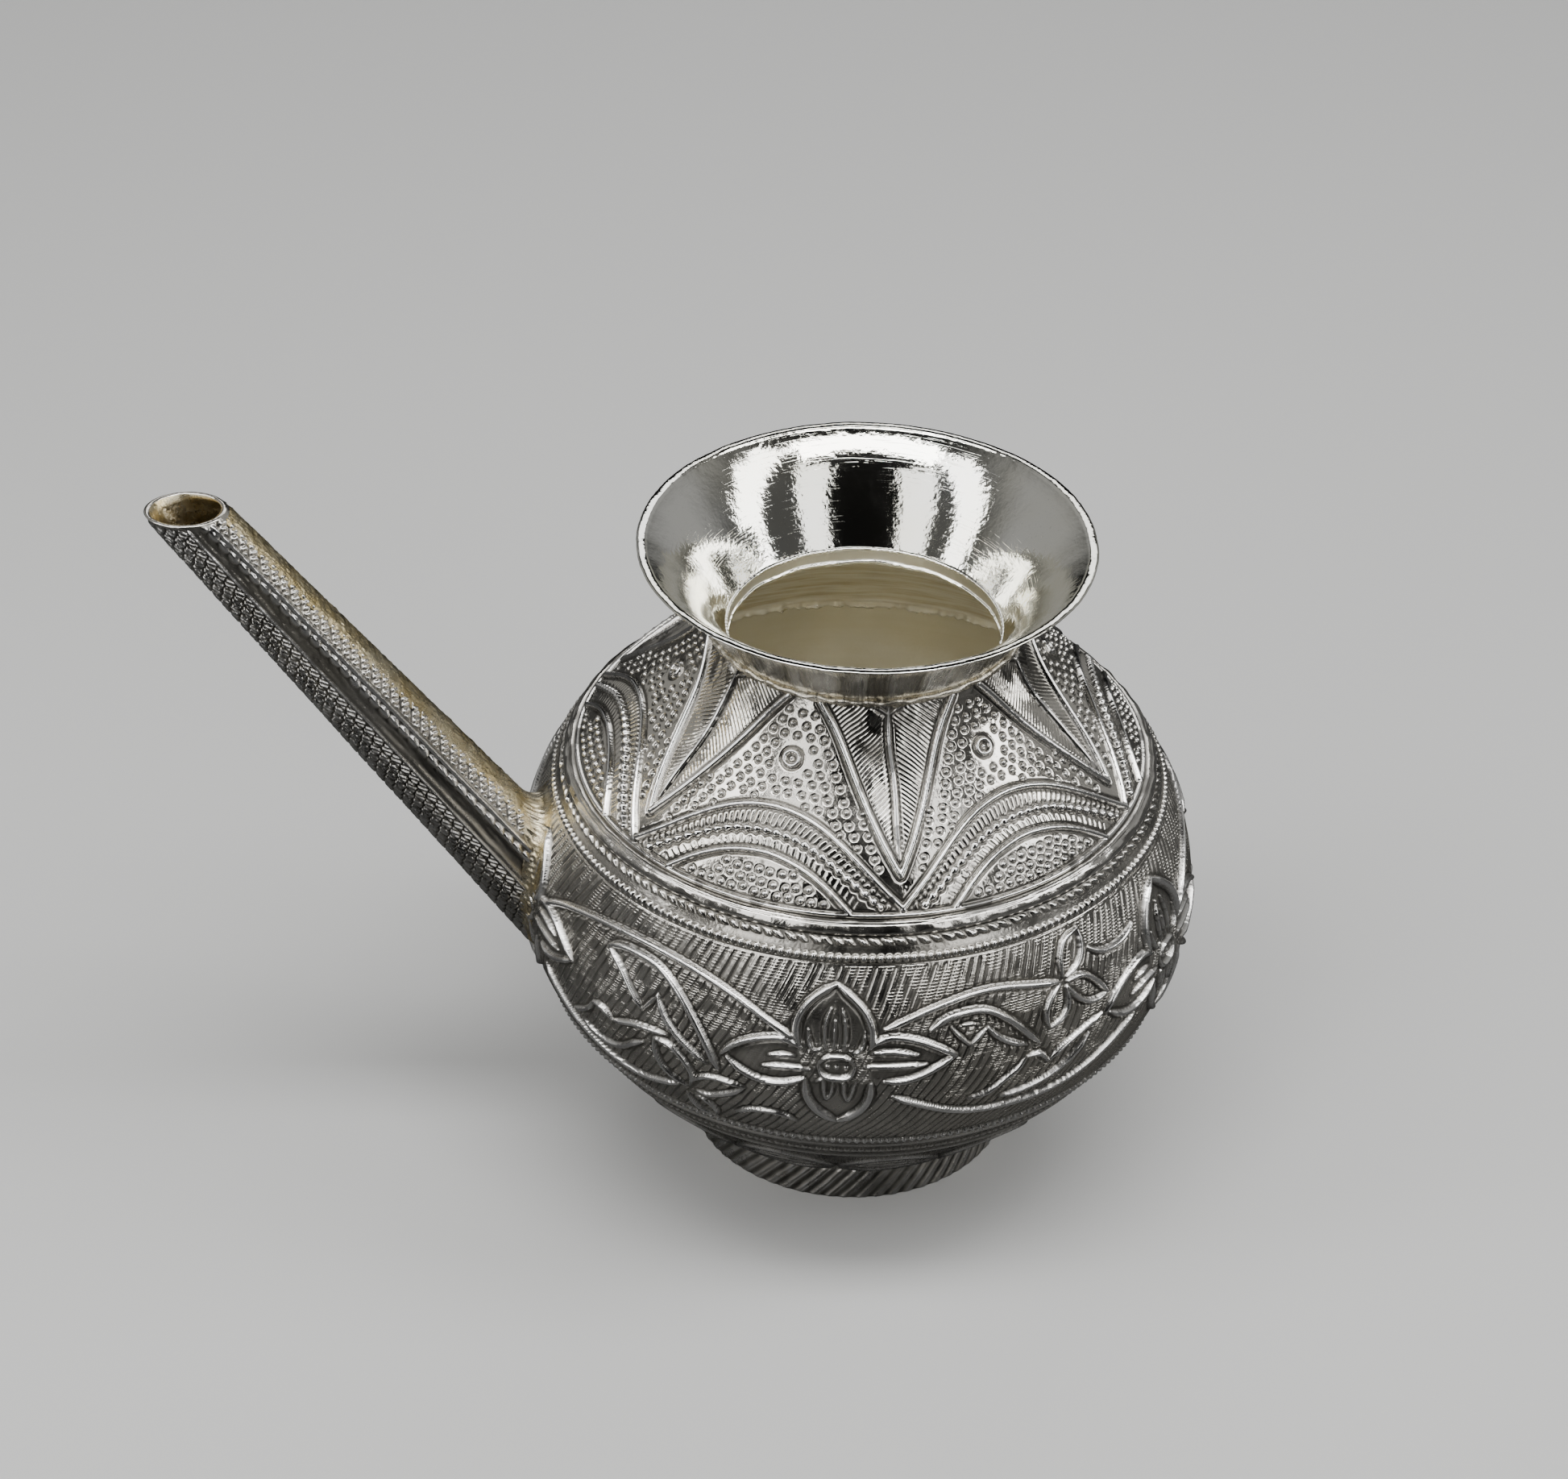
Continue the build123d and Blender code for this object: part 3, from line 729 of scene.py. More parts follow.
def chased(name, rough, dark, ticks=False, warm=0.12):
    """Silver sheet: bright on the ridges; in the cut places a little rough and darkened, partly tarnish and
    partly painted shade.
    """
    f = Finish(name)
    deep = f.mark("cavity")
    patch = f.noise(70.0, 5.0, 0.6)
    # painted shade: the sunken places are darkened, more in some patches; partly tarnish, partly painted
    # shade
    grime = f.times(f.span(patch, 0.3, 0.7, 0.55, 1.15), f.times(deep, dark), clamp=True)
    speck = f.span(f.noise(1500.0, 3.0), 0.62, 0.72, 0.0, 0.35)
    shade = f.math("MAXIMUM", grime, f.times(speck, f.span(patch, 0.45, 0.6)), clamp=True)
    tone = f.mix(f.span(f.noise(28.0, 4.0), 0.42, 0.68, 0.0, warm), BRIGHT, WARM)
    tone = f.mix(f.mark("crest"), tone, WORN)
    colour = f.mix(shade, tone, DULL)
    sheen = f.span(f.noise(260.0, 4.0), 0.3, 0.7, rough - 0.07, rough + 0.1)
    roughness = f.math("ADD", sheen, f.times(shade, 0.22), clamp=True)
    normal = f.bump(f.noise(2400.0, 1.5, 0.5), 0.00004, 0.6)
    normal = f.bump(f.noise(620.0, 2.0), 0.00016, 0.5, normal)
    if ticks:
        split = f.add("ShaderNodeSeparateXYZ", f.flat)
        sway = f.times(f.noise(2.0, 2.0, flat=True), 6.0)
        wave = f.math("SINE", f.math("ADD", f.times(split.outputs[1], 150.0), sway))
        where = f.span(f.noise(2.4, 3.0, 0.5, (1.6, 0.9, 1.0), flat=True), 0.46, 0.54)
        line = f.times(f.times(f.span(wave, 0.0, 0.9), where), f.mark("ground"))
        normal = f.bump(line, 0.00007, 0.7, normal)
    return f.done(colour, roughness, normal)


def polished():
    """Mirror-burnished silver with hair scratches and faint pits."""
    f = Finish("burnished silver")
    haze = f.noise(95.0, 4.0, 0.6)
    pits = f.span(f.noise(2300.0, 2.0), 0.66, 0.74)
    cast = f.span(f.noise(60.0, 3.0), 0.4, 0.65)
    colour = f.mix(cast, (0.89, 0.883, 0.835, 1), (0.86, 0.842, 0.745, 1))
    colour = f.mix(f.times(pits, 0.35), colour, (0.55, 0.54, 0.50, 1))
    rub = f.noise(300.0, 3.0, 0.6, (1.0, 1.0, 0.2))
    rubbed = f.times(f.span(rub, 0.55, 0.7), 0.03)
    rough = f.math("ADD", f.span(haze, 0.35, 0.7, 0.05, 0.09), rubbed)
    scratch = f.noise(1.0, 2.0, 0.5, (1.2, 55.0, 1.0), flat=True)
    normal = f.bump(f.span(scratch, 0.6, 0.68), 0.00002, 0.16)
    normal = f.bump(f.noise(1400.0, 2.0, 0.5), 0.00007, 0.42, normal)
    normal = f.bump(f.noise(110.0, 2.0), 0.0006, 0.13, normal)
    return f.done(colour, rough, normal)


def neck_outside():
    """Burnished outside of the mouth: upright dark olive streaks painted in its colour stand in for streaked
    reflections, and the same streaks are bumps as rubbing marks.
    """
    f = Finish("rubbed silver")
    streak = f.noise(1.6, 4.0, 0.6, (2.4, 0.12, 1.0), flat=True)
    # painted reflection: the colour is darkened in upright streaks
    colour = f.mix(f.span(streak, 0.4, 0.62, 0.0, 0.9), (0.86, 0.845, 0.79, 1), (0.46, 0.43, 0.35, 1))
    rough = f.span(f.noise(3.0, 3.0, 0.5, (5.0, 0.3, 1.0), flat=True), 0.3, 0.7, 0.16, 0.32)
    normal = f.bump(streak, 0.0008, 0.5)
    normal = f.bump(f.noise(1800.0, 3.0), 0.00004, 0.5, normal)
    return f.done(colour, rough, normal)


def inside_white(name, streaks):
    """Unpolished inside of the belly: soft, pale and slightly yellow, hammer marks."""
    f = Finish(name)
    cloud = f.noise(36.0, 4.0, 0.5, warp=0.6)
    colour = f.mix(f.span(cloud, 0.42, 0.6, 0.0, 0.85), WHITE_INSIDE, (0.93, 0.895, 0.77, 1))
    streak = f.noise(1.0, 5.0, 0.65, (0.7, 7.0, 1.0), flat=True)
    colour = f.mix(f.span(streak, 0.42, 0.64, 0.0, streaks), colour, (0.66, 0.58, 0.40, 1))
    ridge = f.mark("crest")
    colour = f.mix(ridge, colour, (0.98, 0.97, 0.93, 1))
    rough = f.span(f.noise(180.0, 4.0), 0.3, 0.7, 0.3, 0.44)
    rough = f.math("SUBTRACT", rough, f.times(ridge, 0.12), clamp=True)
    dents = f.add("ShaderNodeTexVoronoi", f.spot)
    dents.inputs["Scale"].default_value = 210.0
    normal = f.bump(dents.outputs["Distance"], 0.0005, 0.25)
    normal = f.bump(f.noise(1500.0, 4.0), 0.00006, 0.6, normal)
    return f.done(colour, rough, normal)


def solder(name, yellow, pale=(0.84, 0.80, 0.70, 1)):
    """Solder: yellowish, lumpy, partly scrubbed bright."""
    f = Finish(name)
    patch = f.noise(190.0, 5.0, 0.65)
    colour = f.mix(f.span(patch, 0.38, 0.66, 0.0, yellow), pale, (0.50, 0.38, 0.15, 1))
    pits = f.span(f.noise(1700.0, 3.0), 0.6, 0.7)
    colour = f.mix(f.times(pits, 0.5), colour, (0.25, 0.21, 0.13, 1))
    rough = f.span(f.noise(600.0, 4.0), 0.3, 0.7, 0.14, 0.36)
    normal = f.bump(f.noise(1100.0, 5.0, 0.7), 0.00016, 0.7)
    return f.done(colour, rough, normal)


bowl_silver = chased("chased silver bowl", 0.22, 0.85, ticks=True)
shoulder_silver = chased("chased silver shoulder", 0.14, 0.8)
belt_silver = chased("belt silver", 0.18, 0.85, warm=0.22)
foot_silver = chased("foot silver", 0.3, 0.9)
spout_silver = chased("punched silver spout", 0.18, 0.95, warm=0.35)
mirror_silver = polished()
rubbed_silver = neck_outside()
inner_silver = inside_white("pickled silver inside", 0.05)
streaked_silver = inside_white("streaked silver inside", 0.8)
bead_solder = solder("neck solder", 0.35)
seam_solder = solder("seam solder", 0.8, pale=(0.70, 0.63, 0.44, 1))
root_solder = solder("root solder", 0.85, pale=(0.78, 0.72, 0.56, 1))

# ------------------------------------------------------------ belly: bowl and shoulder


def belly_shell(name, s_low, s_high, relief, pole, node, materials, cell):
    """A closed sheet-metal shell of the belly between two lengths up its wall."""
    sheet = Sheet(s_low, s_high, cell, COLUMNS)
    relief(sheet)
    h = sheet.height()
    # how dark the colour is made: the sunken places, partly tarnish and partly painted shade, and the black
    # stains
    cavity = np.maximum(sunken(h), sheet.stain)
    phi = sheet.phi[None, :]
    near_pole = 0.8
    bare = np.linspace(near_pole, s_low, 30, endpoint=False) if pole else np.zeros(0)
    below = off_wall(bare, 0, phi)
    outer = off_wall(sheet.s, h, phi)
    # the inside is bare but for faint dents and the ragged line where the halves meet
    s_end, s_seam = near_pole if pole else s_low, s_at(SEAM_Z)
    near_seam = s_seam + np.linspace(-2.1, 2.1, 21)
    near_seam = near_seam[(near_seam > s_end) & (near_seam < s_high)]
    s_in = np.unique(np.concatenate([np.linspace(s_end, s_high, 90), near_seam]))[::-1]
    run = hump(s_in[:, None] - s_seam - 0.25 * wavy(phi, 32, 9, 5, 30), 0.6)
    run = run * (0.75 + 0.6 * wavy(phi, 33, 14, 10, 80) + 0.5 * wavy(phi, 34, 14, 80, 220))
    dent = SHEET + 0.05 * blotch(phi, s_in[:, None], 31, 9.0) + 1.1 * run
    inner = off_wall(s_in, -dent, phi)
    marks = {"cavity": cavity, "crest": np.clip(sheet.crest / 0.4, 0, 1), "ground": sheet.ground}
    marks = {key: np.pad(value, ((len(below), 0), (0, 0))) for key, value in marks.items()}
    marks["crest"] = np.vstack([marks["crest"], np.clip(run, 0, 1)])
    obj = grid_mesh(name, np.concatenate([below, outer, inner]), wrap_rows=not pole, poles=pole, marks=marks)
    kinds = np.zeros(len(obj.data.polygons))
    kinds[(len(below) + len(outer)) * COLUMNS:] = 1
    if pole:
        kinds[-2 * COLUMNS:-COLUMNS] = 0
    settle(obj, node, "chased_silver", *materials, kinds=kinds)
    return obj


def spout_place(angle, along, radius):
    """Point of the spout: angle from the back over the top, mm along, mm from its axis."""
    top = np.array([np.sin(RISE), 0, np.cos(RISE)])
    back = np.array([0, 1, 0])
    a, t, r = (x[..., None] for x in np.broadcast_arrays(angle, along, radius))
    return ROOT + t * AXIS + r * np.cos(a) * back + r * np.sin(a) * top


def meets_wall(angle, thinner=0.0, proud=0.0):
    """Length along the spout where its side comes out of the belly."""
    low, high = np.full(angle.shape, -INNER_RUN), np.full(angle.shape, 20.0)
    for _ in range(40):
        mid = (low + high) / 2
        p = spout_place(angle, mid, ROOT_R - TAPER * mid - thinner)
        out = np.hypot(p[..., 0], p[..., 1]) > np.interp(p[..., 2], wall[:, 1], wall[:, 0]) + proud
        high = np.where(out, mid, high)
        low = np.where(out, low, mid)
    return high


def meets_mouth(angle, thinner=0.0):
    """Length along the spout where its side reaches the level mouth."""
    lift = np.sin(angle) * np.cos(RISE)
    return (MOUTH_Z - ROOT[2] - (ROOT_R - thinner) * lift) / (np.sin(RISE) - TAPER * lift)


def pierce(obj):
    """Opens the spout's hole through both faces of the wall and joins the two rims."""
    bm = bmesh.new()
    bm.from_mesh(obj.data)
    co = np.zeros(len(bm.verts) * 3, np.float32)
    obj.data.vertices.foreach_get("co", co)
    p = co.reshape(-1, 3) / MM - ROOT
    t = p @ AXIS
    away = p - t[:, None] * AXIS
    far = np.linalg.norm(away, axis=1)
    bore = ROOT_R - TAPER * t - SPOUT_SHEET
    inside = (far < bore) & (t > -INNER_RUN) & (p[:, 0] < 12)
    bm.verts.ensure_lookup_table()
    picked = set(np.nonzero(inside)[0].tolist())
    gone = set()
    for v in picked:
        for face in bm.verts[v].link_faces:
            if all(c.index in picked for c in face.verts):
                gone.add(face)
    rims = set()
    for face in gone:
        for edge in face.edges:
            if any(other not in gone for other in edge.link_faces):
                rims.add(edge)
    for edge in rims:
        for v in edge.verts:
            n = v.index
            place = ROOT + t[n] * AXIS + away[n] / far[n] * bore[n]
            v.co = Vector(place * MM)
    bmesh.ops.delete(bm, geom=list(gone), context="FACES")
    rims = [e for e in rims if e.is_valid]
    bmesh.ops.bridge_loops(bm, edges=rims)
    bm.to_mesh(obj.data)
    bm.free()


bowl = belly_shell("lower_bowl_chased", s_at(5.0), s_at(SEAM_Z), bowl_relief, True,
                   "lower_bowl", (bowl_silver, inner_silver), CELL)
pierce(bowl)
belly_shell("shoulder_chased", s_at(SEAM_Z), s_at(NECK_Z), shoulder_relief, False,
            "shoulder_shell", (shoulder_silver, streaked_silver), CELL * 0.8)

# ------------------------------------------------------------ belt
BELT_ROWS = [
    # (height of the course on the wall, half width, how proud)
    (57.75, 1.05, 0.82), (56.35, 0.6, 0.6), (54.65, 0.62, 0.66),
]
BEADS, BEADS_R = 240, 41.0
ROPE_PITCH = 1.55


def belt():
    """The strip over the seam: a smooth band, a rope and a row of beads."""
    s = np.linspace(s_at(53.95), s_at(58.75), 76 // FINE)
    phi = bearings(COLUMNS)
    h = np.full((len(s), COLUMNS), 0.26)
    for k, (height, half, proud) in enumerate(BELT_ROWS):
        d = np.broadcast_to((s - s_at(height))[:, None] + 0.05 * wavy(phi, 40 + k, 6, 3, 20), h.shape)
        body = np.clip(1 - (d / half) ** 2, 0, 1)
        if k == 0:
            bump = proud * body ** 0.3 - 0.1 * blotch(phi, s[:, None], 41, 4.0) * body
            bump = bump - 0.12 * hump(d - 0.45, 0.12) * (0.6 + 0.4 * wavy(phi, 46, 9, 4, 40))
        elif k == 1:
            twist = (phi * PATTERN_R + 0.8 * d) / ROPE_PITCH + 0.22 * wavy(phi, 44, 8, 20, 80)
            lump = 0.5 + 0.5 * np.cos(TURN * twist)
            bump = proud * body ** 0.55 * (0.4 + 0.6 * lump ** 0.7)
            bump = bump + 0.09 * blotch(phi, s[:, None], 42, 1.6) * body
        else:
            swing = phi * BEADS / TURN
            x = in_cell(swing) * TURN * BEADS_R / BEADS / (half * 0.86)
            round_bead = np.clip(1 - x**2 - (d / half) ** 2, 0, 1) ** 0.5
            size = 1 + 0.22 * wavy(np.floor(swing) * TURN / BEADS, 45, 16, 30, 119)
            bump = np.maximum(proud * size * round_bead, 0.3 * body ** 0.6)
        h = np.maximum(h, bump)
    groove_s = s_at(57.0)
    groove = step_up(s, groove_s - 0.25, groove_s) * (1 - step_up(s, groove_s, groove_s + 0.25))
    h = h - 0.12 * groove[:, None]
    h = h + 0.012 * np.sin(s * 42)[:, None]
    edge = np.minimum((s - s[0]) / 0.2, (s[-1] - s) / 0.2)
    h = h * np.clip(edge, 0, 1)[:, None] ** 0.5
    # the sunken places darken the colour, partly tarnish and partly painted shade; black stains along the top
    # edge too
    cavity = sunken(h)
    upper = hump(s - s_at(58.45), 0.35)[:, None]
    cavity = np.maximum(cavity, upper * step_up(blotch(phi, s[:, None], 47, 7.0), -0.1, 0.9))
    outer = off_wall(s, h, phi)
    under = off_wall(np.linspace(s[-1], s[0], 6), -0.05, phi)
    plain = step_up(s, groove_s, s_at(57.3))[:, None]
    marks = {"cavity": cavity, "crest": np.clip((h - 0.4) / 0.3, 0, 1) * (1 - 0.75 * plain)}
    obj = grid_mesh("belt_rope_and_beads", np.concatenate([outer, under]), wrap_rows=True, marks=marks)
    settle(obj, "belt_band", "belt_silver", belt_silver)


belt()

# ------------------------------------------------------------ flared mouth


def half_round(r, z, wide, tall, start, end, count):
    """Profile points of an elliptic bead round (r, z), between two angles in degrees."""
    turn = np.linspace(start, end, count) * DEG
    return np.stack([r + wide * np.cos(turn), z + tall * np.sin(turn)], 1)


def mouth():
    """The flared mouth and the short throat that stands inside the collar."""
    columns = 900 // FINE
    phi = bearings(columns)
    bore, crease = THROAT_R - SHEET, THROAT_Z + THROAT_H
    rim_in = RIM_R - SHEET / np.sin(FLARE_RISE)
    rim_run = (np.cos(FLARE_RISE), np.sin(FLARE_RISE))
    throat = np.stack([np.full(8, THROAT_R), np.linspace(THROAT_Z, crease, 8, endpoint=False)], 1)
    flare = spline([(THROAT_R, crease), (NECK_R, NECK_Z), (22.7, 84.4), (RIM_R, RIM_Z)], 26,
                   ends=((0, 1), rim_run))
    # inside, the burnished cone ends in a sharp burred edge above the short throat
    cone = spline([(bore, crease), (18.8, 79.56), (22.23, 84.77), (rim_in, RIM_Z)], 26,
                  ends=((0.53, 0.85), rim_run))
    cone = cone[cone[:, 1] > crease + 0.22]
    stretches = [
        # (profile points, material: 0 burnished, 1 rubbed, 2 unpolished)
        (np.concatenate([throat, flare[:-1]]), 1),
        (half_round((RIM_R + rim_in) / 2, RIM_Z, (RIM_R - rim_in) / 2, 0.2, 0, 180, 9), 0),
        (cone[-2::-1], 0),
        (half_round(bore + 0.16, crease, 0.3, 0.26, 100, 235, 9), 0),
        (np.array([(bore, crease - down) for down in (0.3, 0.7, 1.1, 1.5)]), 2),
        (half_round(bore + 0.03, THROAT_Z - 0.35, 0.3, 0.34, 105, 265, 9), 0),
        (np.array([(THROAT_R - 0.12, THROAT_Z - 0.6)]), 1),
    ]
    profile = np.concatenate([points for points, _ in stretches])
    r, z = profile[:, :1], profile[:, 1:]
    lift = step_up(z, 81.0, RIM_Z) ** 2
    edge = step_up(z, RIM_Z - 0.7, RIM_Z + 0.1)
    r = r + lift * (0.2 * wavy(phi, 51, 5, 2, 5) + 0.09 * wavy(phi, 52, 8, 9, 30))
    z = z + lift * (0.14 * wavy(phi, 53, 5, 2, 6) + 0.06 * wavy(phi, 54, 8, 12, 50))
    r = r + edge * 0.07 * wavy(phi, 57, 12, 40, 160)
    ragged = hump(z - crease, 0.35)
    low = 1 - step_up(z, THROAT_Z + 0.4, THROAT_Z + 1.8)
    z = z + low * (0.2 * wavy(phi, 55, 7, 3, 14) + 0.07 * wavy(phi, 65, 12, 20, 90))
    r = r + low * (0.2 * wavy(phi, 56, 9, 3, 18) + 0.06 * wavy(phi, 66, 12, 20, 90))
    z = z + ragged * (0.24 * wavy(phi, 59, 9, 3, 24) + 0.12 * wavy(phi, 60, 14, 40, 160))
    r = r + ragged * 0.13 * wavy(phi, 58, 16, 50, 220)
    obj = grid_mesh("flared_mouth_sheet", turned(r, z, phi), wrap_rows=True, across=TURN * 24)
    kinds = np.concatenate([np.full(len(points), kind) for points, kind in stretches])
    settle(obj, "flared_mouth", "polished_silver", mirror_silver, rubbed_silver, inner_silver,
           kinds=np.repeat(kinds, columns))


mouth()


def neck_bead():
    """The uneven bead of solder in the corner between collar and mouth."""
    columns = 900 // FINE
    phi = bearings(columns)
    turn = bearings(18).T
    size = 0.58 + 0.26 * wavy(phi, 61, 9, 4, 40) + 0.16 * wavy(phi, 62, 12, 40, 120)
    size = size + 0.1 * np.sin(3 * turn + 4 * wavy(phi, 63, 8, 6, 40))
    r = NECK_R + 0.5 + size * 1.15 * np.cos(turn) + 0.1 * wavy(phi, 64, 5, 3, 12)
    z = NECK_Z + 0.12 + size * 0.95 * np.sin(turn)
    obj = grid_mesh("neck_solder_line", turned(r, z, phi), wrap_rows=True, across=TURN * 20)
    settle(obj, "neck_solder", "solder", bead_solder)


neck_bead()

# ------------------------------------------------------------ foot ring


def foot():
    """The foot ring, with slanting bars outside and a plain inside."""
    columns, bars = 1000 // FINE, 64
    phi = bearings(columns)
    z = np.linspace(0.12, 4.86, 44 // FINE)[:, None]
    part = in_cell(phi * bars / TURN - z * 0.42 + 0.1 * wavy(phi, 71, 8, 5, 30))
    h = 0.13 * np.cos(TURN * part) + 0.02
    h = h - 0.12 * hump(part, 0.11) + 0.03 * blotch(phi, z, 72, 3.0)
    h = h - 0.1 * hump(z - 4.6, 0.25)
    r = FOOT_BOTTOM_R + (FOOT_TOP_R - FOOT_BOTTOM_R) * z / 4.85
    outer = turned(r + h, z, phi)
    top_in, bottom_in = FOOT_TOP_R - FOOT_WALL, FOOT_BOTTOM_R - FOOT_WALL
    inside = np.array([(top_in, 4.25), (top_in, 2.2), (bottom_in, 0.15), (bottom_in + 0.15, 0.0),
                       (FOOT_BOTTOM_R - 0.15, 0.0)])
    points = np.concatenate([outer, turned(inside[:, :1], inside[:, 1:], phi)])
    # the hollows between the bars darken the colour: partly tarnish, partly painted shade
    marks = {"cavity": sunken(h, 0.12), "crest": np.clip(h / 0.15, 0, 1)}
    obj = grid_mesh("foot_ring_hatched", points, wrap_rows=True, marks=marks, across=TURN * 21)
    settle(obj, "foot_ring", "foot_silver", foot_silver)


foot()

# ------------------------------------------------------------ spout


def spout_height(b, t, r):
    """Punched pattern of the tube: b degrees from the back over the top (90 to 270), t mm along.
    Returns the relief and how dark its colour is made: black in the groove and between the cells, partly
    tarnish and partly painted shade, and painted shade over the side below the scalloped edge and over the
    underside, strongest near the root."""
    h = np.zeros(np.broadcast(b, t).shape)
    rung_pitch, cell_row = 1.95, 1.2
    # ladder of slanting grooves beside the seam
    across = (b - 126) * DEG * r
    zone = step_up(b, 112, 118) * (1 - step_up(b, 137, 139))
    part = in_cell((t + 0.8 * across + 0.15 * np.sin(t * 0.9)) / rung_pitch) * rung_pitch
    h -= zone * 0.3 * hump(part, 0.2)
    rung = np.cos(TURN * (t - 0.8 * across) / 0.95)
    h += zone * (0.08 + 0.13 * rung) * step_up(np.abs(part), 0.25, 0.45)
    # plain strip, sharp line, scalloped edge, deep groove, thin line
    black = 0.75 * step_up(b, 138.5, 139.5) * (1 - step_up(b, 142.5, 143.5))
    h += 0.42 * hump((b - 144.8) * DEG * r, 0.26)
    scallop = np.abs(np.cos(np.pi * (t + 0.35 * (b - 153.5) * DEG * r) / rung_pitch)) ** 0.7
    h += (0.08 + 0.26 * scallop) * hump((b - 153.5) * DEG * r, 0.2 + 0.32 * scallop)
    # the groove is deeper and blacker near the root; its black and the darkening beside it are partly
    # tarnish, partly painted shade
    worn = 1 - 0.75 * step_up(t, 14, 42)
    h -= 0.38 * worn * hump(b - 165.0, 7.0, 4)
    black = np.maximum(black, worn * hump(b - 165.0, 7.5, 6))
    black = np.maximum(black, 0.6 * worn * hump(b - 173.0, 7.5, 6))
    h += 0.26 * hump((b - 181.0) * DEG * r, 0.2)
    # rows of little cells, three dashes in each
    strip = (b - 182) * DEG * r / cell_row
    n = np.floor(strip)
    v = in_cell(strip) * cell_row
    cell = (t + 0.4 * v) / 1.84 + 0.5 * (n % 2)
    gap = np.abs(in_cell(cell)) * 2
    dash = np.cos(TURN * (t - 1.7 * v) / 1.1)
    body = (1 - step_up(gap, 0.78, 0.96)) * (1 - step_up(np.abs(v) + 0.12 * gap, 0.45, 0.62))
    under = step_up(b, 181, 183)
    h += under * (body * (0.08 + 0.17 * dash) - 0.14 * (1 - body))
    # painted shade: the underside is darkened all over and blacker between the cells, and the side below the
    # scalloped edge is darkened too, most near the root
    black = np.maximum(black, under * (0.22 + 0.5 * (1 - body)))
    black = np.maximum(black, 0.5 * np.maximum(worn, under) * step_up(b, 156, 158))
    return h, black


def tube():
    """The spout: punched outside, plain inside, its mouth level."""
    columns = 460 // FINE
    rows = 520 // FINE
    a = bearings(columns)
    start, end = meets_wall(a) - 0.12, meets_mouth(a)
    u = np.linspace(0, 1, rows)[:, None]
    t = start * (1 - u) + end * u
    r = ROOT_R - TAPER * t
    deg = a / DEG
    b = np.where((deg < 90) | (deg >= 270), (180 - deg) % 360, deg)
    h, black = spout_height(b, t, r)
    h = h + 0.03 * blotch(a, t, 81, 6.0)
    quiet = step_up(t - start, 0.0, 1.5) * step_up(end - t, 0.1, 1.1)
    h = h * quiet
    outer = spout_place(a, t, r + h)
    start_in, end_in = meets_wall(a, SPOUT_SHEET) - 0.12, meets_mouth(a, SPOUT_SHEET)
    back = np.linspace(1, 0, 60)[:, None]
    t_in = start_in * (1 - back) + end_in * back
    r_in = ROOT_R - TAPER * t_in - SPOUT_SHEET + 0.06 * wavy(a + 0.05 * t_in, 82, 6, 3, 9)
    inner = spout_place(a, t_in, r_in)
    edge = 0.5 * (outer[-1:] + inner[:1])
    edge[..., 2] += 0.1 + 0.05 * wavy(a, 83, 6, 3, 20)
    # the sunken places and the dark marks from spout_height darken the colour: tarnish and painted shade
    marks = {"cavity": np.maximum(sunken(h, 0.12), black * quiet), "crest": np.clip(h / 0.2, 0, 1)}
    obj = grid_mesh("spout_punched_tube", np.concatenate([outer, edge, inner]), wrap_rows=True,
                    marks=marks, across=TURN * 5)
    obj.data.flip_normals()
    kinds = np.zeros(len(obj.data.polygons))
    kinds[(rows + 1) * columns:] = 1
    settle(obj, "spout_tube", "spout_silver", spout_silver, root_solder, kinds=kinds)


tube()


def seam():
    """The lumpy run of solder along the top of the spout."""
    rows, cols = 360 // FINE, 34
    half = 33 * DEG
    a = (90 * DEG + np.linspace(-half, half, cols))[None, :]
    start, end = meets_wall(a, 0, 0.3), meets_mouth(a) - 0.25
    u = np.linspace(0, 1, rows)[:, None]
    t = start * (1 - u) + end * u
    x = (a - 90 * DEG) / (half * (0.86 + 0.14 * wavy(t * 0.12, 91, 7, 2, 12)))
    body = np.clip(1 - x**2, 0, 1)
    lump = 0.06 * blotch(a, t, 92, 2.2) + 0.04 * blotch(a, t, 93, 0.9)
    ends = step_up(t - start, 0, 0.8) * step_up(end - t, 0, 0.8)
    h = (0.2 * body ** 0.6 + lump * body ** 0.5) * ends - 0.04
    r = ROOT_R - TAPER * t
    upper = spout_place(a, t, r + h)
    lower = spout_place(a, t, r - 0.16)
    ring = np.concatenate([upper, lower[:, ::-1]], axis=1)
    obj = grid_mesh("spout_seam_solder", ring, poles=True, across=8.0)
    obj.data.flip_normals()
    settle(obj, "spout_seam", "solder", seam_solder)


seam()


